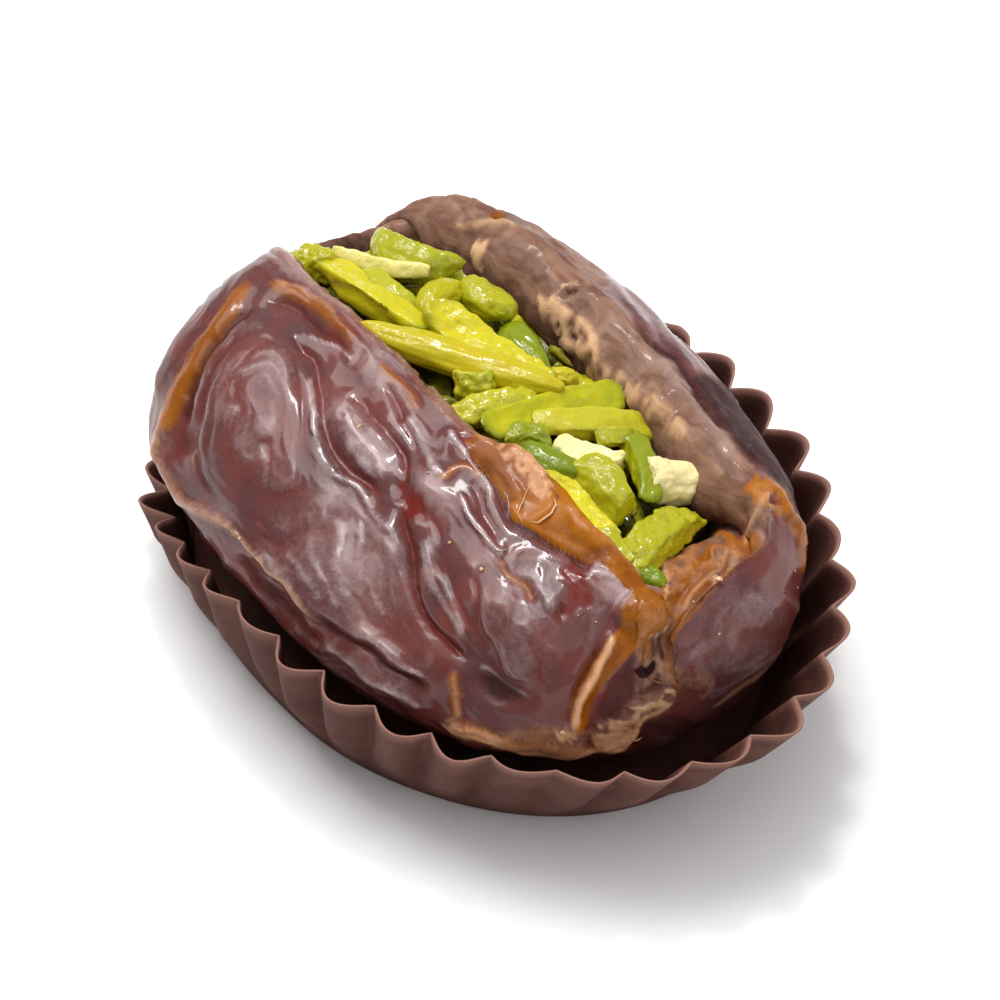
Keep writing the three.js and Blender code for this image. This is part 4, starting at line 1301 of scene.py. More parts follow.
    def bare_loops(self) -> tuple[Array, Array, Array, Array]:
        """Draws the section's closed loop at every station.

        Returns:
            The points (rows, columns, 3), the angle of each, and how far inside the right and the left edge
            of the skin it lies, in millimetres.
        """
        form, noise = self.form, Noise(3)
        u = self.stations()[:, None]
        x, fullness = form.section(u)
        jag = self.lip_jag * fullness
        smooth_lips = form.lips(u)
        row_place = x * self.jags_per_mm * np.array([1.0, 0.0, 0.0])
        left, right = smooth_lips
        bulge = window(x, self.lip_bulge_start, self.lip_bulge_end)
        left = left - self.left_jag_share * jag * noise.layered(row_place)[:, None] - self.lip_bulge * bulge
        right = right + jag * noise.layered(row_place + 50.0)[:, None]

        part = two_paces(self.outer_steps, self.seen_share, self.seen_turn)
        angle = mixed(left, right, part)
        raised = self.coarse_share * self.coarse_relief(np.broadcast_to(x, angle.shape), angle)
        outer = form.skin(u, angle, 0.0, raised * np.minimum(1.0, fullness * 1.5))

        part = two_paces(self.inner_steps, self.wall_steps_share, self.wall_share)
        inner_right = mixed(right, smooth_lips[1], smoothstep(part, *self.lip_blend))
        inner_left = mixed(left, smooth_lips[0], smoothstep(1.0 - part, *self.lip_blend))
        inner_angle = mixed(inner_right, inner_left, part)
        lip_flesh = np.where(part < 0.5, form.right_lip_flesh, form.left_lip_flesh)
        flesh = mixed(form.flesh, lip_flesh, (2 * part - 1) ** 2)
        swell = smoothstep(x, *self.swell_start) * window(part, self.swell_rise, self.swell_fall)
        inner = form.skin(u, inner_angle, flesh + self.swell * swell)
        share = mixed(form.notch_margin, 1 - form.notch_margin, part)[..., None]
        across = mixed(outer[:, -1:], outer[:, :1], share)
        closing = window(x, self.near_notch_start, self.near_notch_end)
        across[..., 2] -= (form.notch_depth + self.near_notch * closing) * fullness
        reach = np.where(x < 0, form.far_reach, self.near_hollow)
        opened = smoothstep(reach - np.abs(x), 1.0, 1.0 + form.solid_end)
        hollow = mixed(across, inner, opened[..., None])

        right_lip = self.lip(outer[:, -1:], hollow[:, :1])
        left_lip = self.lip(hollow[:, -1:], outer[:, :1])
        points = np.concatenate([outer, right_lip, hollow, left_lip, outer[:, :1]], axis=1)
        on_right, on_left = (np.repeat(edge, self.lip_steps - 1, 1) for edge in (right, left))
        angles = np.concatenate([angle, on_right, inner_angle, on_left, left], axis=1)
        run = np.cumsum(np.linalg.norm(np.diff(points, axis=1, prepend=points[:, :1]), axis=2), axis=1)
        edge = run[:, self.outer_steps][:, None]
        return points, angles, run - edge, run[:, -1:] - run

    def lip(self, start: Array, end: Array) -> Array:
        """The rounded edge of the flesh between the skin and the hollow."""
        half = (end - start) / 2
        out = np.stack([np.zeros_like(half[..., 0]), half[..., 2], -half[..., 1]], axis=-1)
        out = out * 2 * self.form.lip_rounding
        turn = (np.arange(1, self.lip_steps) / self.lip_steps * math.pi)[None, :, None]
        return start + half - half * np.cos(turn) + out * np.sin(turn)

    def facing(self, points: Array) -> Array:
        """The direction that the surface faces at each of its points, worked out from its neighbours."""
        body = points[:, :-1]
        along = np.gradient(body, axis=0)
        around = np.roll(body, -1, axis=1) - np.roll(body, 1, axis=1)
        way = np.cross(along, around)
        length = np.linalg.norm(way, axis=-1, keepdims=True)
        tip = np.sign(body[..., :1]) * np.array([1.0, 0.0, 0.0])
        way = np.where(length > 1e-7, way / np.maximum(length, 1e-9), tip)
        middle = body.mean(axis=1, keepdims=True)
        row, column = self.rows // 2, self.outer_steps // 2
        if np.dot(way[row, column], (body - middle)[row, column]) < 0:
            way = -way
        return np.concatenate([way, way[:, :1]], axis=1)

    def seen_relief(self, pixels: Array, hues: dict[Hue, Array]) -> tuple[Array, Array, Array]:
        """The folds, patches and areas that the photograph shows.

        Args:
            pixels: The pixel of each point, (n, 2).
            hues: The colour masks, (n,) each, which this adds to.

        Returns:
            The height of each point in millimetres, the part of it that the flesh shares, and how far the
            point lies in a pale streak, from 0 to 1.
        """
        height = np.zeros(len(pixels))
        nearness = np.zeros(len(pixels))
        wobble = Noise(11)
        spot = flat_points(pixels / self.wander_size)
        warped = pixels + self.wander * np.stack([wobble.layered(spot), wobble.layered(spot + 31.0)], axis=-1)
        for fold in PHOTO_FOLDS:
            distance, side, run = line_reach(warped, smooth_line(fold.line))
            ends = smoothstep(run, *self.fold_ends) * smoothstep(1.0 - run, *self.fold_ends)
            sharpness = self.crest_sharpness if fold.height > 0 else self.crease_sharpness
            reach = distance / (fold.width * np.where(side > 0, fold.skew, 1.0))
            height += fold.height * np.exp(-(reach**sharpness)) * ends
            tint(hues, fold.hue, fold.strength * bell(distance, fold.width * self.tone_spread) * ends)
            nearness += np.exp(-distance / self.ring_reach) * abs(fold.height)
        for patch in PHOTO_PATCHES:
            turn = math.radians(patch.turn)
            off = warped - np.array(patch.centre)
            first = (off[:, 0] * math.cos(turn) + off[:, 1] * math.sin(turn)) / patch.radii[0]
            second = (off[:, 1] * math.cos(turn) - off[:, 0] * math.sin(turn)) / patch.radii[1]
            within = np.exp(-((first**2 + second**2) ** self.crest_sharpness))
            height += patch.height * within
            tint(hues, patch.hue, patch.strength * within)
        ragged = wobble.layered(flat_points(pixels / self.ragged_size) + 90.0, 2)
        torn = ridged(wobble.layered(flat_points(pixels / self.torn_size) + 40.0, 3), self.torn_sharpness)
        for area in PHOTO_AREAS:
            if area.rough:
                within = area.share(warped + self.wander * ragged[:, None])
                tone = within * mixed(self.torn_tone, 1.0, smoothstep(torn, -0.55, 0.5))
            else:
                tone = within = area.share(warped)
            height += (area.height + area.rough * torn) * within
            tint(hues, area.hue, area.strength * tone)
        rings = -self.ring_reach * np.log(nearness + 1e-3)
        wide_place, fine_place = (
            np.column_stack([rings / across, pixels / along])
            for across, along in (self.wide_wrinkle, self.fine_wrinkle)
        )
        wide = wobble.layered(wide_place, 3)
        fine = ridged(wobble.layered(fine_place + 7.0, 2), 2.0)
        # Pale streaks that carry painted sheen and a little relief, along the rings round the marks.
        streak = 0.4 * smoothstep(fine, 0.2, 0.95) * smoothstep(wide, -0.5, 0.5)
        streak = streak + 0.6 * smoothstep(wide, -0.1, 0.8)
        return height + (self.wide_rise * wide + self.fine_rise * fine), height, streak

    def hidden_relief(self, points: Array) -> tuple[Array, Array]:
        """Wrinkles that run along the date where the photograph doesn't show it.

        Args:
            points: The points of the skin.

        Returns:
            The height of each point in millimetres, and how far it lies in a pale streak, from 0 to 1.
        """
        noise = Noise(23)
        bend = noise.layered(points / 9.0)
        wide = ridged(noise.at(points / np.array([11.0, 3.4, 3.4]) + 0.7 * bend[..., None]), 2.2)
        narrow = ridged(noise.at(points / np.array([6.0, 1.7, 1.7]) + 0.9 * bend[..., None] + 9.0), 2.2)
        height = -0.5 * smoothstep(wide, 0.25, 1.0) - 0.24 * smoothstep(narrow, 0.3, 1.0) + 0.3 * bend
        # Pale streaks that carry painted sheen, between the wrinkles.
        streak = noise.layered(points / np.array([5.0, 0.9, 0.9]) + 1.2 * bend[..., None] + 13.0)
        return height, smoothstep(streak, 0.0, 0.9) * smoothstep(-wide, -0.9, 0.2)

    def flesh_relief(self, points: Array) -> Array:
        """The torn, fibrous surface of the flesh."""
        noise = Noise(37)
        coarse = noise.layered(points * np.array([0.25, 0.4, 0.4]), 2)
        torn = ridged(noise.layered(points * np.array([0.45, 0.7, 0.7]) + 5.0, 3), 2.2)
        fine = noise.layered(points * np.array([0.9, 2.0, 2.0]), 2)
        return 0.24 * coarse + 0.08 * torn + 0.055 * fine

    def flesh_share(self, points: Array, from_right: Array, from_left: Array) -> Array:
        """How far each point is bare flesh, which starts at the right lip and well inside the left one.

        Args:
            points: The points of the skin and the hollow.
            from_right: How far inside the right edge of the skin they lie.
            from_left: How far inside the left edge they lie.

        Returns:
            The share of flesh at each point, from 0 to 1.
        """
        ragged = 0.5 * Noise(41).layered(points * 0.8)
        start = mixed(*self.skin_under_lip, window(points[..., 0], self.torn_start, self.torn_end))
        return smoothstep(from_right + ragged, 0.0, 0.4) * smoothstep(from_left + ragged - start, 0.0, 0.4)

    def dress_left_lip(self, x: Array, from_left: Array, hues: dict[Hue, Array]) -> None:
        """Colours the left lip: amber along its near half with a pale edge, and pale at its far end."""
        near = window(x, self.amber_start, self.amber_end)
        on_lip = window(from_left, (-0.2, 0.2), (2.2, 2.8))
        tint(hues, AMBER, near * on_lip)
        tint(hues, PEACH, 0.2 * bell(from_left - 1.1, 0.5) * near)
        tint(hues, PEACH, 0.35 * on_lip * (1.0 - near))

    def cavity(self, height: Array) -> tuple[Array, Array]:
        """How much each point is a crest or a valley against the skin round it, from 0 to 1."""
        smooth = height[:, :-1]
        for _ in range(self.cavity_rounds):
            smooth = (np.roll(smooth, 1, 1) + np.roll(smooth, -1, 1) + 2 * smooth) / 4
            padded = np.pad(smooth, ((1, 1), (0, 0)), mode="edge")
            smooth = (padded[2:] + padded[:-2] + 2 * smooth) / 4
        smooth = np.concatenate([smooth, smooth[:, :1]], axis=1)
        off = (height - smooth) / self.cavity_depth
        return np.clip(off, 0, 1), np.clip(-off, 0, 1)

    def build(self, material: bpy.types.Material) -> None:
        """Makes the date and dresses it."""
        points, angle, from_right, from_left = self.bare_loops()
        way = self.facing(points)
        pixels = self.view.pixels(points)
        shape = angle.shape
        facing = way @ self.view.axes[2]
        seen = smoothstep(facing, *self.seen_facing)
        hues = {hue: np.zeros(angle.size) for hue in Hue}
        relief = self.seen_relief(pixels.reshape(-1, 2), hues)
        shown, drawn, shown_streak = (numbers.reshape(shape) for numbers in relief)
        marked = smoothstep(facing, *self.marked_facing)
        hues = {hue: numbers.reshape(shape) * marked for hue, numbers in hues.items()}
        hidden, hidden_streak = self.hidden_relief(points)
        flesh = np.maximum(self.flesh_share(points, from_right, from_left), hues[FLESH])
        self.dress_left_lip(points[..., 0], from_left, hues)
        # Painted shade deep in the hollow away from the lips, lighter towards the near end.
        shaded = flesh * smoothstep(np.minimum(from_right, from_left), *self.shade_reach)
        shaded = shaded * (1.0 - self.near_light * smoothstep(points[..., 0], *self.swell_start))
        tint(hues, DARK, self.shade * shaded)
        fullness = np.minimum(1.0, self.form.section(self.stations())[1] * 1.4)[:, None]
        height = mixed(mixed(hidden, shown, seen), self.flesh_relief(points) + drawn * seen, flesh) * fullness
        moved = points + way * height[..., None]
        crest, valley = self.cavity(height)
        values = {hue.value: np.clip(hues[hue], 0, 1) for hue in Hue if hue is not NONE}
        # Crests feed the painted highlight and the gloss; valleys feed the red and the painted shade of the
        # creases.
        values |= {"crest": crest * (1 - flesh), "valley": valley * (1 - flesh), "flesh": flesh}
        values["streak"] = mixed(hidden_streak, shown_streak, seen)
        faces = seen > 0.3
        self.surface, self.ways, self.pixels = moved[faces], way[faces], self.view.pixels(moved[faces])
        piece = grid_piece("wrinkled_date", moved, values)
        piece.close()
        piece.finish(material, "date_skin", "date")


@dataclass(frozen=True)
class Fibre:
    """A thin fibre of torn skin that stands off the date.

    Its line is in the photograph's pixels, and its radius and its middle's lift are in millimetres.
    """

    line: tuple[Pixel, ...]
    radius: float
    lift: float
    hue: Hue = PEACH


@dataclass(frozen=True)
class Speck:
    """A tiny grain on the skin, with its pixel, its two half sizes in millimetres and its turn in degrees."""

    pixel: Pixel
    radii: Span
    turn: float = 0.0
    hue: Hue = PEACH


# Fibres and grains given the pale hue are painted highlights along ridges and painted glints.
PHOTO_FIBRES = (
    Fibre(((401.5, 435), (400.5, 438), (399, 441), (398, 445), (400, 449)), 0.045, 0.1),
    Fibre(((402, 446.5), (405, 447), (408, 444.5), (410, 441.5), (409, 439)), 0.08, 0.15),
    Fibre(((376, 421), (380, 424.5), (384, 429), (387, 434), (388, 439)), 0.06, 0.02, PALE),
    Fibre(((380, 441), (382.5, 447), (386, 451.5), (389.5, 455.5), (392.5, 456), (395, 454.5)), 0.06, 0.05,
          PALE),
    Fibre(((393, 436), (394.5, 440), (394.5, 446)), 0.04, 0.06, PALE),
    Fibre(((434, 516), (436, 517.5), (437.5, 517)), 0.06, 0.06),
)

PHOTO_SPECKS = (
    Speck((347.5, 416), (0.34, 0.13), -55.0),
    Speck((308, 452), (0.2, 0.16)),
    Speck((386, 461.5), (0.2, 0.18)),
    Speck((375, 453.5), (0.18, 0.14)),
    Speck((461, 465.5), (0.38, 0.26), 30.0),
    Speck((463, 483), (0.14, 0.12)),
    Speck((454, 472), (0.12, 0.1)),
    Speck((420, 474), (0.12, 0.1), 0.0, PALE),
    Speck((423.5, 479), (0.14, 0.1), 0.0, PALE),
    Speck((417, 477), (0.1, 0.1), 0.0, PALE),
    Speck((487, 463), (0.14, 0.12), 0.0, PALE),
    Speck((488, 468), (0.12, 0.1), 0.0, PALE),
    Speck((369, 431), (0.14, 0.1), 0.0, PALE),
    Speck((412.5, 515), (0.3, 0.24), 20.0),
)


@dataclass
class Shreds:
    """The fibres and grains on the date's skin."""

    view: PhotoView
    sides: int = 6
    steps: int = 6
    sink: float = 0.35
    speck_size: float = 0.75
    speck_depth: float = 0.6
    # How much painted highlight and gloss the fibres and grains take.
    gleam: float = 0.8

    def spot(self, date: Date, pixel: Pixel) -> tuple[Array, Array]:
        """The place on the date's skin that shows at a pixel, and the way that it faces."""
        off = np.hypot(*(date.pixels - np.array(pixel)).T)
        near = np.flatnonzero(off < max(1.0, off.min() + 0.3))
        found = near[np.argmax(date.surface[near] @ self.view.axes[2])]
        return date.surface[found], date.ways[found]

    def fibre(self, date: Date, fibre: Fibre) -> Piece:
        """Makes one fibre, a thin tapered tube."""
        spots = [self.spot(date, tuple(pixel)) for pixel in smooth_line(fibre.line, self.steps)]
        part = np.linspace(0.0, 1.0, len(spots))
        bow = np.sin(math.pi * part)
        places, ways = (np.array(found) for found in zip(*spots))
        path = places + ways * (fibre.lift * bow)[:, None]
        for _ in range(3):
            path[1:-1] = (path[:-2] + 2 * path[1:-1] + path[2:]) / 4
        along = np.gradient(path, axis=0)
        side = unit(np.cross(along, self.view.axes[2]))
        over = unit(np.cross(side, along))
        turn = np.linspace(0.0, 2 * math.pi, self.sides + 1)[None, :, None]
        radius = (fibre.radius * (0.15 + 0.85 * bow**0.6))[:, None, None]
        tube = path[:, None] + radius * (side[:, None] * np.cos(turn) + over[:, None] * np.sin(turn))
        ends = np.repeat(path[[0, -1], None], self.sides + 1, axis=1)
        piece = grid_piece("fibre", np.concatenate([ends[:1], tube, ends[1:]]))
        piece.close(1e-4)
        return self.coloured(piece, fibre.hue)

    def speck(self, date: Date, speck: Speck) -> Piece:
        """Makes one grain, an uneven ball half sunk in the skin."""
        place, way = self.spot(date, speck.pixel)
        deselect_all()
        bpy.ops.mesh.primitive_ico_sphere_add(subdivisions=2, radius=MM)
        piece = Piece(bpy.context.object, "speck")
        right, up, _ = self.view.axes
        turn = math.radians(speck.turn)
        first = right * math.cos(turn) - up * math.sin(turn)
        first = unit(first - way * (first @ way))
        deep = min(speck.radii) * self.speck_depth
        axes = [first * speck.radii[0], np.cross(way, first) * speck.radii[1], way * deep]
        lumps = 0.5 * Noise(51).at(piece.points * 1.4 + speck.pixel[0])
        shape = piece.points * self.speck_size * (1.0 + lumps)[:, None]
        piece.points = shape @ np.array(axes) + place + way * min(speck.radii) * self.sink
        return self.coloured(piece, speck.hue)

    def coloured(self, piece: Piece, hue: Hue) -> Piece:
        """Gives a piece one of the skin's hues, and a crest value that adds gloss and a painted highlight."""
        piece.fill(**{hue.value: 1.0, "crest": self.gleam})
        return piece

    def build(self, date: Date, material: bpy.types.Material) -> None:
        """Makes the fibres and grains and dresses them."""
        pieces = [self.fibre(date, fibre) for fibre in PHOTO_FIBRES]
        pieces += [self.speck(date, speck) for speck in PHOTO_SPECKS]
        joined("date_shreds", pieces).finish(material, "date_skin", "date")


# The paper case


@dataclass
class PaperCase:
    """The fluted paper case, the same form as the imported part's, of one thin sheet."""

    paper: float = 0.16
    flutes: int = 34
    steps_per_flute: int = 14
    rings: int = 16
    flute_depth: float = 1.5
    flute_middle: float = 0.25
    rim_length: float = 57.2
    rim_width: float = 38.6
    rim_height: float = 10.4
    right_rim_rise: float = 0.45
    far_rim_drop: float = 0.52
    lowest_rim_turn: float = 0.08
    rim_shift: float = -0.2
    base_length: float = 43.6
    base_width: float = 33.8
    base_shift: float = -0.8
    far_squareness: float = 2.35
    near_squareness: float = 1.97
    base_rings: int = 8
    crinkle: float = 0.12
    crinkles: float = 9.0
    full_flute: float = 0.55
    rim_wave: float = 0.4
    rim_lobe: float = 0.3
    rim_crinkle: float = 0.15
    # How strongly the last two rings take the rim's painted highlight.
    rim_highlight: Span = (0.25, 1.0)

    def oval_place(self, turn: Array) -> tuple[Array, Array]:
        """How far along the half length and the half width a turn lies; the oval is fuller at the far end."""
        nearness = smoothstep(np.cos(turn), -0.4, 0.6)
        power = 2 / mixed(self.far_squareness, self.near_squareness, nearness)
        along, across = np.cos(turn), np.sin(turn)
        return np.sign(along) * np.abs(along) ** power, np.sign(across) * np.abs(across) ** power

    def turns(self) -> Array:
        """Turns round the case that part its rim into stretches of equal length."""
        fine = np.linspace(0.0, 2 * math.pi, 8001)
        along, across = self.oval_place(fine)
        steps = np.hypot(np.diff(along) * self.rim_length / 2, np.diff(across) * self.rim_width / 2)
        return evenly_spread(fine, steps, self.flutes * self.steps_per_flute)

    def wall(self, rise: Array) -> Array:
        """Points of the wall's outer face.

        Args:
            rise: How far up the wall, from 0 to 1, (rows, 1).

        Returns:
            The points, (rows, columns, 3).
        """
        turn = self.turns()[None, :]
        part = np.linspace(0.0, 2 * math.pi, turn.shape[1])[None, :]
        noise = Noise(5)
        round_case = self.crinkles * np.cos(part), self.crinkles * np.sin(part)
        crinkle = noise.layered(np.stack(np.broadcast_arrays(*round_case, rise * 3), axis=-1))
        farness = smoothstep(-np.cos(turn - self.lowest_rim_turn), -0.1, 0.95)
        lobe = np.abs(np.sin(part * self.flutes / 2))
        uneven = 1 + 0.25 * np.sin(part * 5 + 1) + 0.2 * np.sin(part * 13)
        flute = self.flute_depth * uneven * (lobe - self.flute_middle)
        flute = flute * smoothstep(rise, 0.0, self.full_flute)
        flute = flute + self.crinkle * crinkle * rise
        flare = rise * (1 - self.far_rim_drop * farness)
        lean = self.right_rim_rise * np.sin(turn)
        wave = self.rim_wave * np.sin(part * 3 + 0.6) + self.rim_lobe * lobe + self.rim_crinkle * crinkle
        wave = rise * (wave + lean)
        half_length = mixed(self.base_length, self.rim_length, flare) / 2 + flute
        half_width = mixed(self.base_width, self.rim_width, flare**0.9) / 2 + flute
        along, across = self.oval_place(turn)
        x = mixed(self.base_shift, self.rim_shift, rise) + half_length * along
        y = half_width * across
        return np.stack(np.broadcast_arrays(x, y, flare * self.rim_height + wave), axis=-1)

    def build(self, material: bpy.types.Material) -> None:
        """Makes the case and dresses it."""
        rise = np.linspace(0.0, 1.0, self.rings)[:, None]
        wall = self.wall(rise)
        middle = np.array([self.base_shift, 0.0, 0.0])
        reach = np.linspace(0.0, 1.0, self.base_rings, endpoint=False)[:, None, None]
        base = middle + (wall[:1] - middle) * reach
        surface = np.concatenate([base, wall], axis=0)
        # Painted highlight along the cut rim, on its last two rings.
        rim = np.zeros(surface.shape[:2])
        rim[-2:] = np.array(self.rim_highlight)[:, None]
        piece = grid_piece("fluted_paper", surface, {"rim": rim})
        piece.close()
        piece.modify("SOLIDIFY", thickness=self.paper * MM, offset=-1.0)
        piece.finish(material, "case_paper", "paper_case")


# The filling


class Cut(Enum):
    """The shapes that kernels are cut to: planes that each take a side off, as (place, direction)."""

    SLIVER = (((0, 0, 0.10), (0, 0, -1)), ((0, -0.22, 0), (0, -1, 0.1)), ((0, 0.26, 0), (0, 1, 0.15)))
    SLAB = (((0, 0, 0.13), (0.03, 0, 1)), ((0, 0, -0.12), (0, 0.05, -1)), ((0, 0.3, 0), (0.1, 1, 0)))
    WEDGE = (((0, 0, 0.02), (0, 0.2, -1)), ((0, 0.12, 0.1), (0.05, 0.8, 0.55)))
    CHUNK = (((0.3, 0, 0), (1, 0.1, 0.1)), ((-0.32, 0, 0), (-1, 0.15, -0.1)), ((0, 0, -0.1), (0, 0.1, -1)),
             ((0, 0.3, 0), (0.1, 1, 0.2)))
    KERNEL = (((0, 0, -0.3), (0.1, 0, -1)),)


SLIVER, SLAB, WEDGE, CHUNK, KERNEL = Cut


@dataclass(frozen=True)
class Nut:
    """A piece of pistachio that the photograph shows.

    Its ends are pixels, its width and its lift above the heap's top are in millimetres, and its roll about
    its length is in degrees. How green, pale and rough it is goes from 0 to 1.
    """

    cut: Cut
    tail: Pixel
    head: Pixel
    width: float
    green: float
    pale: float = 0.0
    lift: float = 0.0
    roll: float = 0.0
    rough: float = 0.3


SHOWN_NUTS = (
    Nut(CHUNK, (325, 363), (340, 364), 2.6, 0.35, 0.1, 0.2, 0, 0.9),
    Nut(WEDGE, (350, 358), (378, 367), 3.4, 0.55, 0.35, 0.8, 10),
    Nut(SLAB, (339, 361), (368, 368), 1.7, 0.15, 0.9, 0.5, -30),
    Nut(SLIVER, (336, 366), (367, 386), 2.7, 0.45, 0.1, 0.3, 160, 0.25),
    Nut(SLIVER, (346, 366), (364, 381), 2.4, 0.4, 0.35, 0.0, 20),
    Nut(CHUNK, (367, 355), (378, 360), 1.8, 0.7, 0.3, 0.4),
    Nut(KERNEL, (366, 378), (380, 371), 2.6, 0.3, 0.0, 0.6, 0, 0.1),
    Nut(KERNEL, (380, 371), (395, 382), 3.1, 0.4, 0.1, 0.7, 0, 0.3),
    Nut(WEDGE, (393, 381), (407, 400), 2.4, 0.85, 0.1, 0.6, -15, 0.1),
    Nut(SLAB, (368, 382), (407, 402), 3.6, 0.35, 0.2, 0.4, 12, 0.5),
    Nut(KERNEL, (349, 385.5), (410, 404.5), 2.6, 0.12, 0.1, 0.9, 10, 0.0),
    Nut(CHUNK, (379, 404.5), (390, 402.5), 2.3, 0.5, 0.6, 0.4, 40, 1.0),
    Nut(SLIVER, (377, 412), (410, 407), 2.4, 0.35, 0.45, 0.2, 10, 0.7),
    Nut(SLIVER, (386, 417), (428, 407), 2.4, 0.7, 0.1, 0.5, 200, 0.15),
    Nut(SLIVER, (405, 414), (443, 417), 2.4, 0.3, 0.5, 0.9, 15, 0.15),
    Nut(CHUNK, (393, 420), (407, 419), 2.2, 0.7, 0.15, 0.2, 0, 0.6),
    Nut(KERNEL, (400, 424), (417, 433), 2.3, 1.0, 0.0, 0.5, 0, 0.0),
    Nut(SLAB, (409, 424), (430, 429), 2.4, 0.2, 1.0, 0.2, 0),
    Nut(CHUNK, (417, 428), (434, 442), 3.6, 0.45, 0.15, 0.7, 20, 0.4),
    Nut(SLAB, (405, 434), (430, 450), 2.8, 0.35, 0.6, 0.1, -10, 0.6),
    Nut(SLIVER, (424, 419), (437, 420), 1.6, 0.5, 0.3, 0.9, 30),
    Nut(SLIVER, (434, 417), (442, 439), 2.1, 0.8, 0.2, 0.9, 10, 0.1),
    Nut(CHUNK, (438, 433), (455, 434), 3.1, 0.0, 1.2, 0.7, 10, 0.4),
    Nut(SLIVER, (454, 443), (430, 463), 3.0, 0.42, 0.15, 0.6, 20, 1.0),
    Nut(CHUNK, (436, 462), (445, 468), 1.8, 0.9, 0.0, 0.1),
    Nut(CHUNK, (425, 451), (434, 461), 1.8, 0.5, 0.5, 0.0),
    Nut(CHUNK, (408, 400), (417, 401), 1.4, 0.1, 0.3, 0.2),
)


@dataclass(frozen=True)
class Layer:
    """Pieces of pistachio that lie under and between those that show.

    The span along the date, the drop under the heap's top and the length are in millimetres. Across goes
    from 0 at the left lip to 1 at the right one, and the turn from the date's length is in degrees.
    """

    count: int
    span: Span
    across: Span
    drop: Span
    length: Span
    turn: float


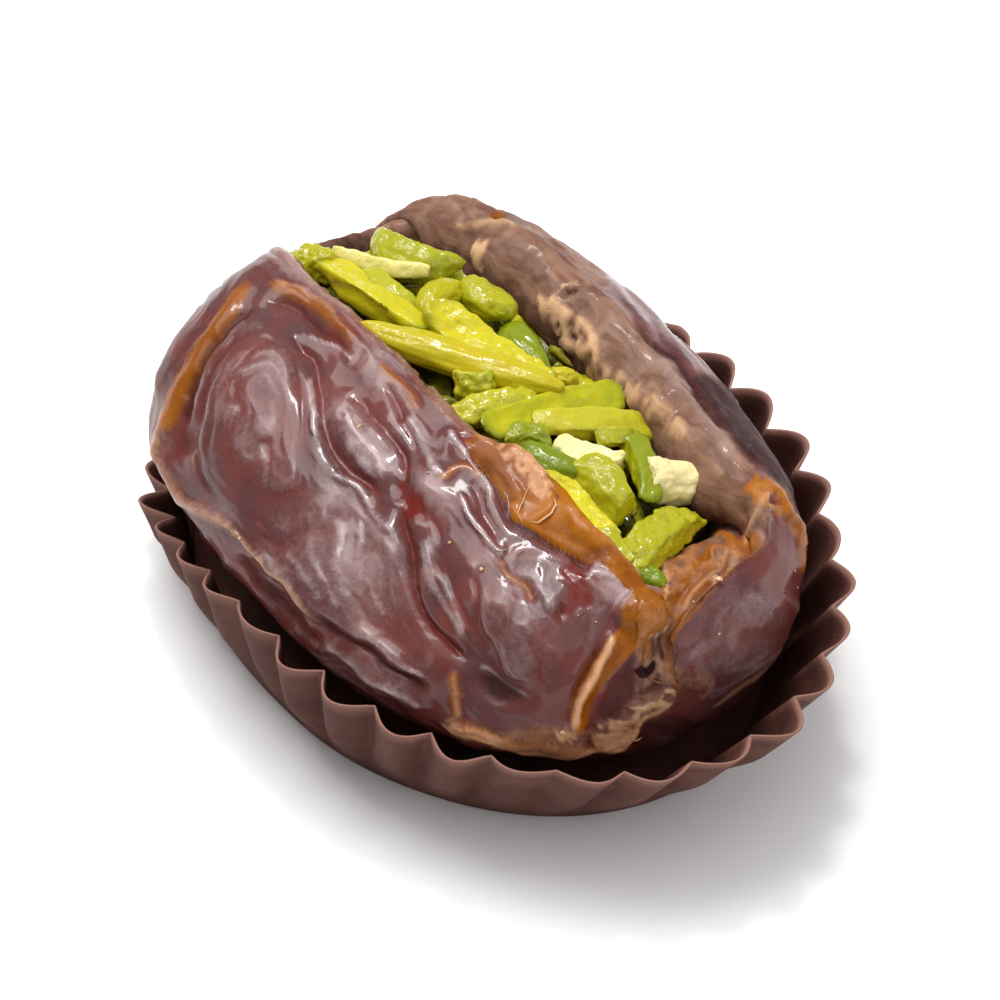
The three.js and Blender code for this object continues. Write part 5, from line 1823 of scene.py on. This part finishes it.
@dataclass
class Filling:
    """The heap of pistachio slivers and chips between the lips, over a core that fills the hollow."""

    view: PhotoView
    form: DateForm = field(default_factory=DateForm)
    layers: tuple[Layer, ...] = (
        Layer(60, (-20.5, 13.0), (0.05, 0.9), (1.8, 2.7), (4.0, 9.0), 50.0),
        Layer(18, (-18.0, 9.5), (0.86, 1.0), (1.0, 1.6), (4.0, 6.5), 22.0),
    )
    # The heap.
    seed: int = 29
    heap_reach: float = 22.0
    shade_depth: Span = (0.3, 1.8)
    # The kernels that the pieces are cut from, and how the cuts vary.
    kernel: Triple = (9.0, 5.2, 4.6)
    variants: int = 3
    shown_voxel: float = 0.345
    under_voxel: float = 0.55
    cut_lean: float = 0.09
    cut_place: Span = (0.85, 1.15)
    lumps: float = 0.3
    bow: float = 0.25
    sway: float = 0.2
    rind_reach: Span = (0.86, 0.97)
    # The pieces as they are laid.
    stretch: float = 1.08
    swell: float = 0.08
    roughness: float = 0.2
    shown_depth: float = 0.78
    under_depth: float = 0.8
    under_width: Span = (1.8, 2.8)
    under_tilt: float = 0.15
    far_and_near_taper: Span = (11.0, 18.0)
    near_narrowing: Span = (9.0, 13.0)
    # The core.
    core_span: Span = (-0.86, 0.36)
    core_rows: int = 70
    core_steps: int = 22
    core_drop: float = 2.7
    core_lumps: float = 0.3
    # The crumbs.
    crumbs: int = 20
    crumb_span: Span = (-20.0, 19.0)
    crumb_across: Span = (0.05, 0.95)
    crumb_size: Span = (0.3, 0.7)
    crumb_width: Span = (0.4, 0.7)
    crumb_height: Span = (0.15, 0.3)
    crumb_sink: float = 2.0

    @contextmanager
    def masters(self, voxel: float) -> Iterator[dict[Cut, list[Piece]]]:
        """Cuts the pieces that others are copies of, and removes them at the end."""
        masters = {cut: [self.master(cut, variant, voxel) for variant in range(self.variants)] for cut in Cut}
        yield masters
        for piece in chain(*masters.values()):
            bpy.data.objects.remove(piece.obj)

    def master(self, cut: Cut, variant: int, voxel: float) -> Piece:
        """Cuts one piece from a whole kernel.

        Args:
            cut: The shape to cut.
            variant: Which of the shape's variants to make.
            voxel: How fine its mesh is before it is scaled, in millimetres.

        Returns:
            The piece, scaled to fill a box of 1 mm along X, Y and Z.
        """
        draw = np.random.default_rng(100 * list(Cut).index(cut) + variant)
        deselect_all()
        half = np.array(self.kernel)
        bpy.ops.mesh.primitive_uv_sphere_add(segments=40, ring_count=24, radius=MM)
        bpy.ops.transform.resize(value=tuple(half))
        bpy.ops.object.transform_apply(scale=True)
        piece = Piece(bpy.context.object, f"{cut.name.lower()}_{variant}")
        with piece.editing():
            for place, direction in cut.value:
                bpy.ops.mesh.select_all(action="SELECT")
                lean = Vector(direction) + Vector(draw.uniform(-self.cut_lean, self.cut_lean, 3))
                spot = Vector(np.array(place) * half * 2 * draw.uniform(*self.cut_place) * MM)
                bpy.ops.mesh.bisect(plane_co=spot, plane_no=lean, use_fill=True, clear_outer=True)
        piece.modify("REMESH", mode="VOXEL", voxel_size=voxel * MM)
        piece.modify("SMOOTH", factor=0.5, iterations=1)
        points = piece.points
        lumps = Noise(61 + variant).layered(points * np.array([0.3, 0.6, 0.6]), 2)
        points = points + piece.normals * (self.lumps * lumps)[:, None]
        outward = np.linalg.norm(points / half, axis=1)
        low, high = points.min(axis=0), points.max(axis=0)
        boxed = (points - (low + high) / 2) / (high - low)
        for axis, most in ((2, self.bow), (1, self.sway)):
            boxed[:, axis] += draw.uniform(-most, most) * (2 * boxed[:, 0]) ** 2
        piece.points = boxed
        piece.write("rind", smoothstep(outward, *self.rind_reach))
        return piece

    def heap_grid(self) -> tuple[Array, Array]:
        """The heap's top as a fine grid, and the way it faces there."""
        stations = np.linspace(-self.heap_reach, self.heap_reach, 441)
        x, across = np.meshgrid(stations, np.linspace(-0.1, 1.1, 121), indexing="ij")
        points = self.form.heap_top(x, across)
        way = unit(np.cross(np.gradient(points, axis=0), np.gradient(points, axis=1)))
        return points.reshape(-1, 3), way.reshape(-1, 3)

    def lay(
        self, master: Piece, ends: tuple[Array, Array], up: Array, size: Span, roll: float, **looks: float
    ) -> Piece:
        """Lays a copy of a piece between two points.

        Args:
            master: The piece to copy.
            ends: The two points, in millimetres.
            up: The way that the heap faces there.
            size: The copy's width and depth, in millimetres.
            roll: How far it is turned about its length, in degrees.
            looks: How green, pale and rough it is, each from 0 to 1.

        Returns:
            The copy, with a mesh of its own.
        """
        tail, head = ends
        width, depth = size
        along = Vector(head - tail)
        first = along.normalized()
        side = Vector(up).cross(first).normalized()
        turned = Matrix.Rotation(math.radians(roll), 3, first)
        under = first.cross(side)
        axes = [first * along.length * self.stretch, turned @ side * width, turned @ under * depth]
        piece = master.copied("nut")
        piece.points = piece.points @ np.array(axes) + (tail + head) / 2
        noise = Noise(83)
        rough = looks["rough"] * self.roughness * noise.layered(piece.points * 1.8, 2)
        relief = self.swell * noise.layered(piece.points * 0.7, 2) + rough
        piece.points = piece.points + piece.normals * relief[:, None]
        piece.fill(**looks)
        return piece

    def shown_pieces(self, masters: dict[Cut, list[Piece]]) -> list[Piece]:
        """Lays the pieces that the photograph shows, each between its two pixels."""
        points, way = self.heap_grid()
        pixels = self.view.pixels(points)
        laid = []
        for number, nut in enumerate(SHOWN_NUTS):
            ends = []
            for pixel in (nut.tail, nut.head):
                lifted = self.view.pixels(points + way * nut.lift) if nut.lift else pixels
                nearest = np.argmin(((lifted - np.array(pixel)) ** 2).sum(axis=1))
                ends.append((points[nearest] + way[nearest] * nut.lift, way[nearest]))
            (tail, up), (head, _) = ends
            master = masters[nut.cut][number % self.variants]
            size = (nut.width, nut.width * self.shown_depth)
            looks = {"green": nut.green, "pale": nut.pale, "rough": nut.rough}
            laid.append(self.lay(master, (tail, head), up, size, nut.roll, **looks))
        return laid

    def under_pieces(self, masters: dict[Cut, list[Piece]]) -> list[Piece]:
        """Lays the pieces under and between those that show, and the rest of the heap."""
        draw = np.random.default_rng(self.seed)
        cuts = [SLIVER, SLAB, WEDGE, CHUNK]
        laid = []
        for layer, x in ((layer, x) for layer in self.layers for x in np.linspace(*layer.span, layer.count)):
            length = draw.uniform(*layer.length) * (1.0 - 0.5 * smoothstep(abs(x), *self.far_and_near_taper))
            turn = math.radians(draw.uniform(-layer.turn, layer.turn))
            tilt = draw.uniform(-self.under_tilt, self.under_tilt)
            way = np.array([math.cos(turn), math.sin(turn), tilt]) * length / 2
            across = draw.uniform(*layer.across) * (1.0 - 0.4 * smoothstep(x, *self.near_narrowing))
            middle = self.form.heap_top(np.array(x), np.array(across))
            middle[2] -= draw.uniform(*layer.drop)
            cut = cuts[draw.integers(len(cuts))]
            width = draw.uniform(*self.under_width)
            up = np.array([0.0, 0.0, 1.0])
            master = masters[cut][draw.integers(self.variants)]
            green, pale = draw.uniform(0.1, 0.9), draw.uniform(0.0, 0.5)
            roll, rough = draw.uniform(-90, 90), draw.uniform(0.2, 1.0)
            size = (width, width * self.under_depth)
            looks = {"green": green, "pale": pale, "rough": rough}
            laid.append(self.lay(master, (middle - way, middle + way), up, size, roll, **looks))
        return laid

    def core(self) -> Piece:
        """Makes the core, from just under the heap's top to the floor of the hollow."""
        form = self.form
        u = np.linspace(*self.core_span, self.core_rows)[:, None]
        x, _ = form.section(u)
        across = np.linspace(-0.05, 1.05, self.core_steps)[None, :]
        x, across = np.broadcast_arrays(x, across)
        top = form.heap_top(x, across)
        top[..., 2] -= self.core_drop
        left, right = form.lips(u)
        angle = mixed(right, left, np.linspace(0.06, 0.94, self.core_steps)[None, :])
        under = form.skin(u, angle, form.flesh + 0.3)
        loop = np.concatenate([top, under, top[:, :1]], axis=1)
        middle = loop[:, :-1].mean(axis=1, keepdims=True)
        loop = loop + self.core_lumps * Noise(71).layered(loop * 0.7)[..., None] * np.array([0.0, 1.0, 1.0])
        loop[:, -1] = loop[:, 0]
        loop[[0, -1]] = middle[[0, -1]]
        piece = grid_piece("pistachio_core", loop)
        piece.close()
        piece.fill(green=0.8, pale=0.0, rind=0.6, rough=1.0)
        return piece

    def crumb_pieces(self, heap: Sequence[Piece]) -> list[Piece]:
        """Scatters crumbs over the heap, each half sunk in what it lies on.

        Args:
            heap: The pieces that crumbs can lie on.

        Returns:
            The crumbs.
        """
        draw = np.random.default_rng(self.seed + 1)
        trees = [BVHTree.FromObject(piece.obj, bpy.context.evaluated_depsgraph_get()) for piece in heap]
        laid = []
        deselect_all()
        bpy.ops.mesh.primitive_ico_sphere_add(subdivisions=2, radius=MM)
        master = Piece(bpy.context.object, "crumb_master")
        while len(laid) < self.crumbs:
            x, across = draw.uniform(*self.crumb_span), draw.uniform(*self.crumb_across)
            place = self.form.heap_top(np.array(x), np.array(across))
            start = Vector((place + np.array([0.0, 0.0, 12.0])) * MM)
            hits = (tree.ray_cast(start, Vector((0.0, 0.0, -1.0))) for tree in trees)
            found = [hit for hit in hits if hit[0]]
            if not found:
                continue
            spot = np.array(min(found, key=lambda hit: hit[3])[0]) / MM
            if not place[2] - self.crumb_sink < spot[2] < place[2]:
                continue
            size = draw.uniform(*self.crumb_size)
            size = size * np.array([1.0, draw.uniform(*self.crumb_width), draw.uniform(*self.crumb_height)])
            turned = np.array(Matrix.Rotation(draw.uniform(0.0, math.pi), 3, Vector(draw.normal(size=3))))
            crumb = master.copied("crumb")
            shape = crumb.points * (1.0 + 0.6 * Noise(97).at(crumb.points * 1.7 + 9.0 * len(laid)))[:, None]
            crumb.points = (shape * size) @ turned + spot
            crumb.fill(green=draw.uniform(0.0, 0.8), pale=draw.uniform(0.1, 1.0), rind=0.0, rough=1.0)
            laid.append(crumb)
        bpy.data.objects.remove(master.obj)
        return laid

    def write_heap_shade(self, piece: Piece) -> None:
        """Keeps how deep each point of a piece lies under the heap's top, from 0 to 1, for the painted shade.
        """
        places = piece.points
        x = np.clip(places[:, 0], -self.heap_reach, self.heap_reach)
        left, right = (self.form.heap_top(x, np.full(len(x), share)) for share in (0.0, 1.0))
        across = np.clip((places[:, 1] - left[:, 1]) / (right[:, 1] - left[:, 1]), 0.0, 1.0)
        top = self.form.heap_top(x, across)[:, 2]
        piece.write("depth", smoothstep(top - places[:, 2], *self.shade_depth))

    def build(self, material: bpy.types.Material) -> None:
        """Makes the core and the heap and dresses them."""
        with self.masters(self.shown_voxel) as masters:
            shown = joined("pistachio_slivers", self.shown_pieces(masters))
        with self.masters(self.under_voxel) as masters:
            under = joined("pistachio_under_slivers", self.under_pieces(masters))
        crumbs = joined("pistachio_crumbs", self.crumb_pieces((shown, under)))
        for piece in (self.core(), shown, under, crumbs):
            self.write_heap_shade(piece)
            piece.finish(material, "pistachio", "pistachio_filling")


def main() -> None:
    """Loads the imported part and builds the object's looks round it."""
    logging.basicConfig(level=logging.INFO, format="%(message)s")
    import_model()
    view = PhotoView()
    view.add_camera()
    Studio(view).build()
    PaperCase().build(PaperFinish().material())
    skin = SkinFinish().material()
    date = Date(view)
    date.build(skin)
    Shreds(view).build(date, skin)
    Filling(view).build(NutFinish().material())


if __name__ == "__main__":
    main()
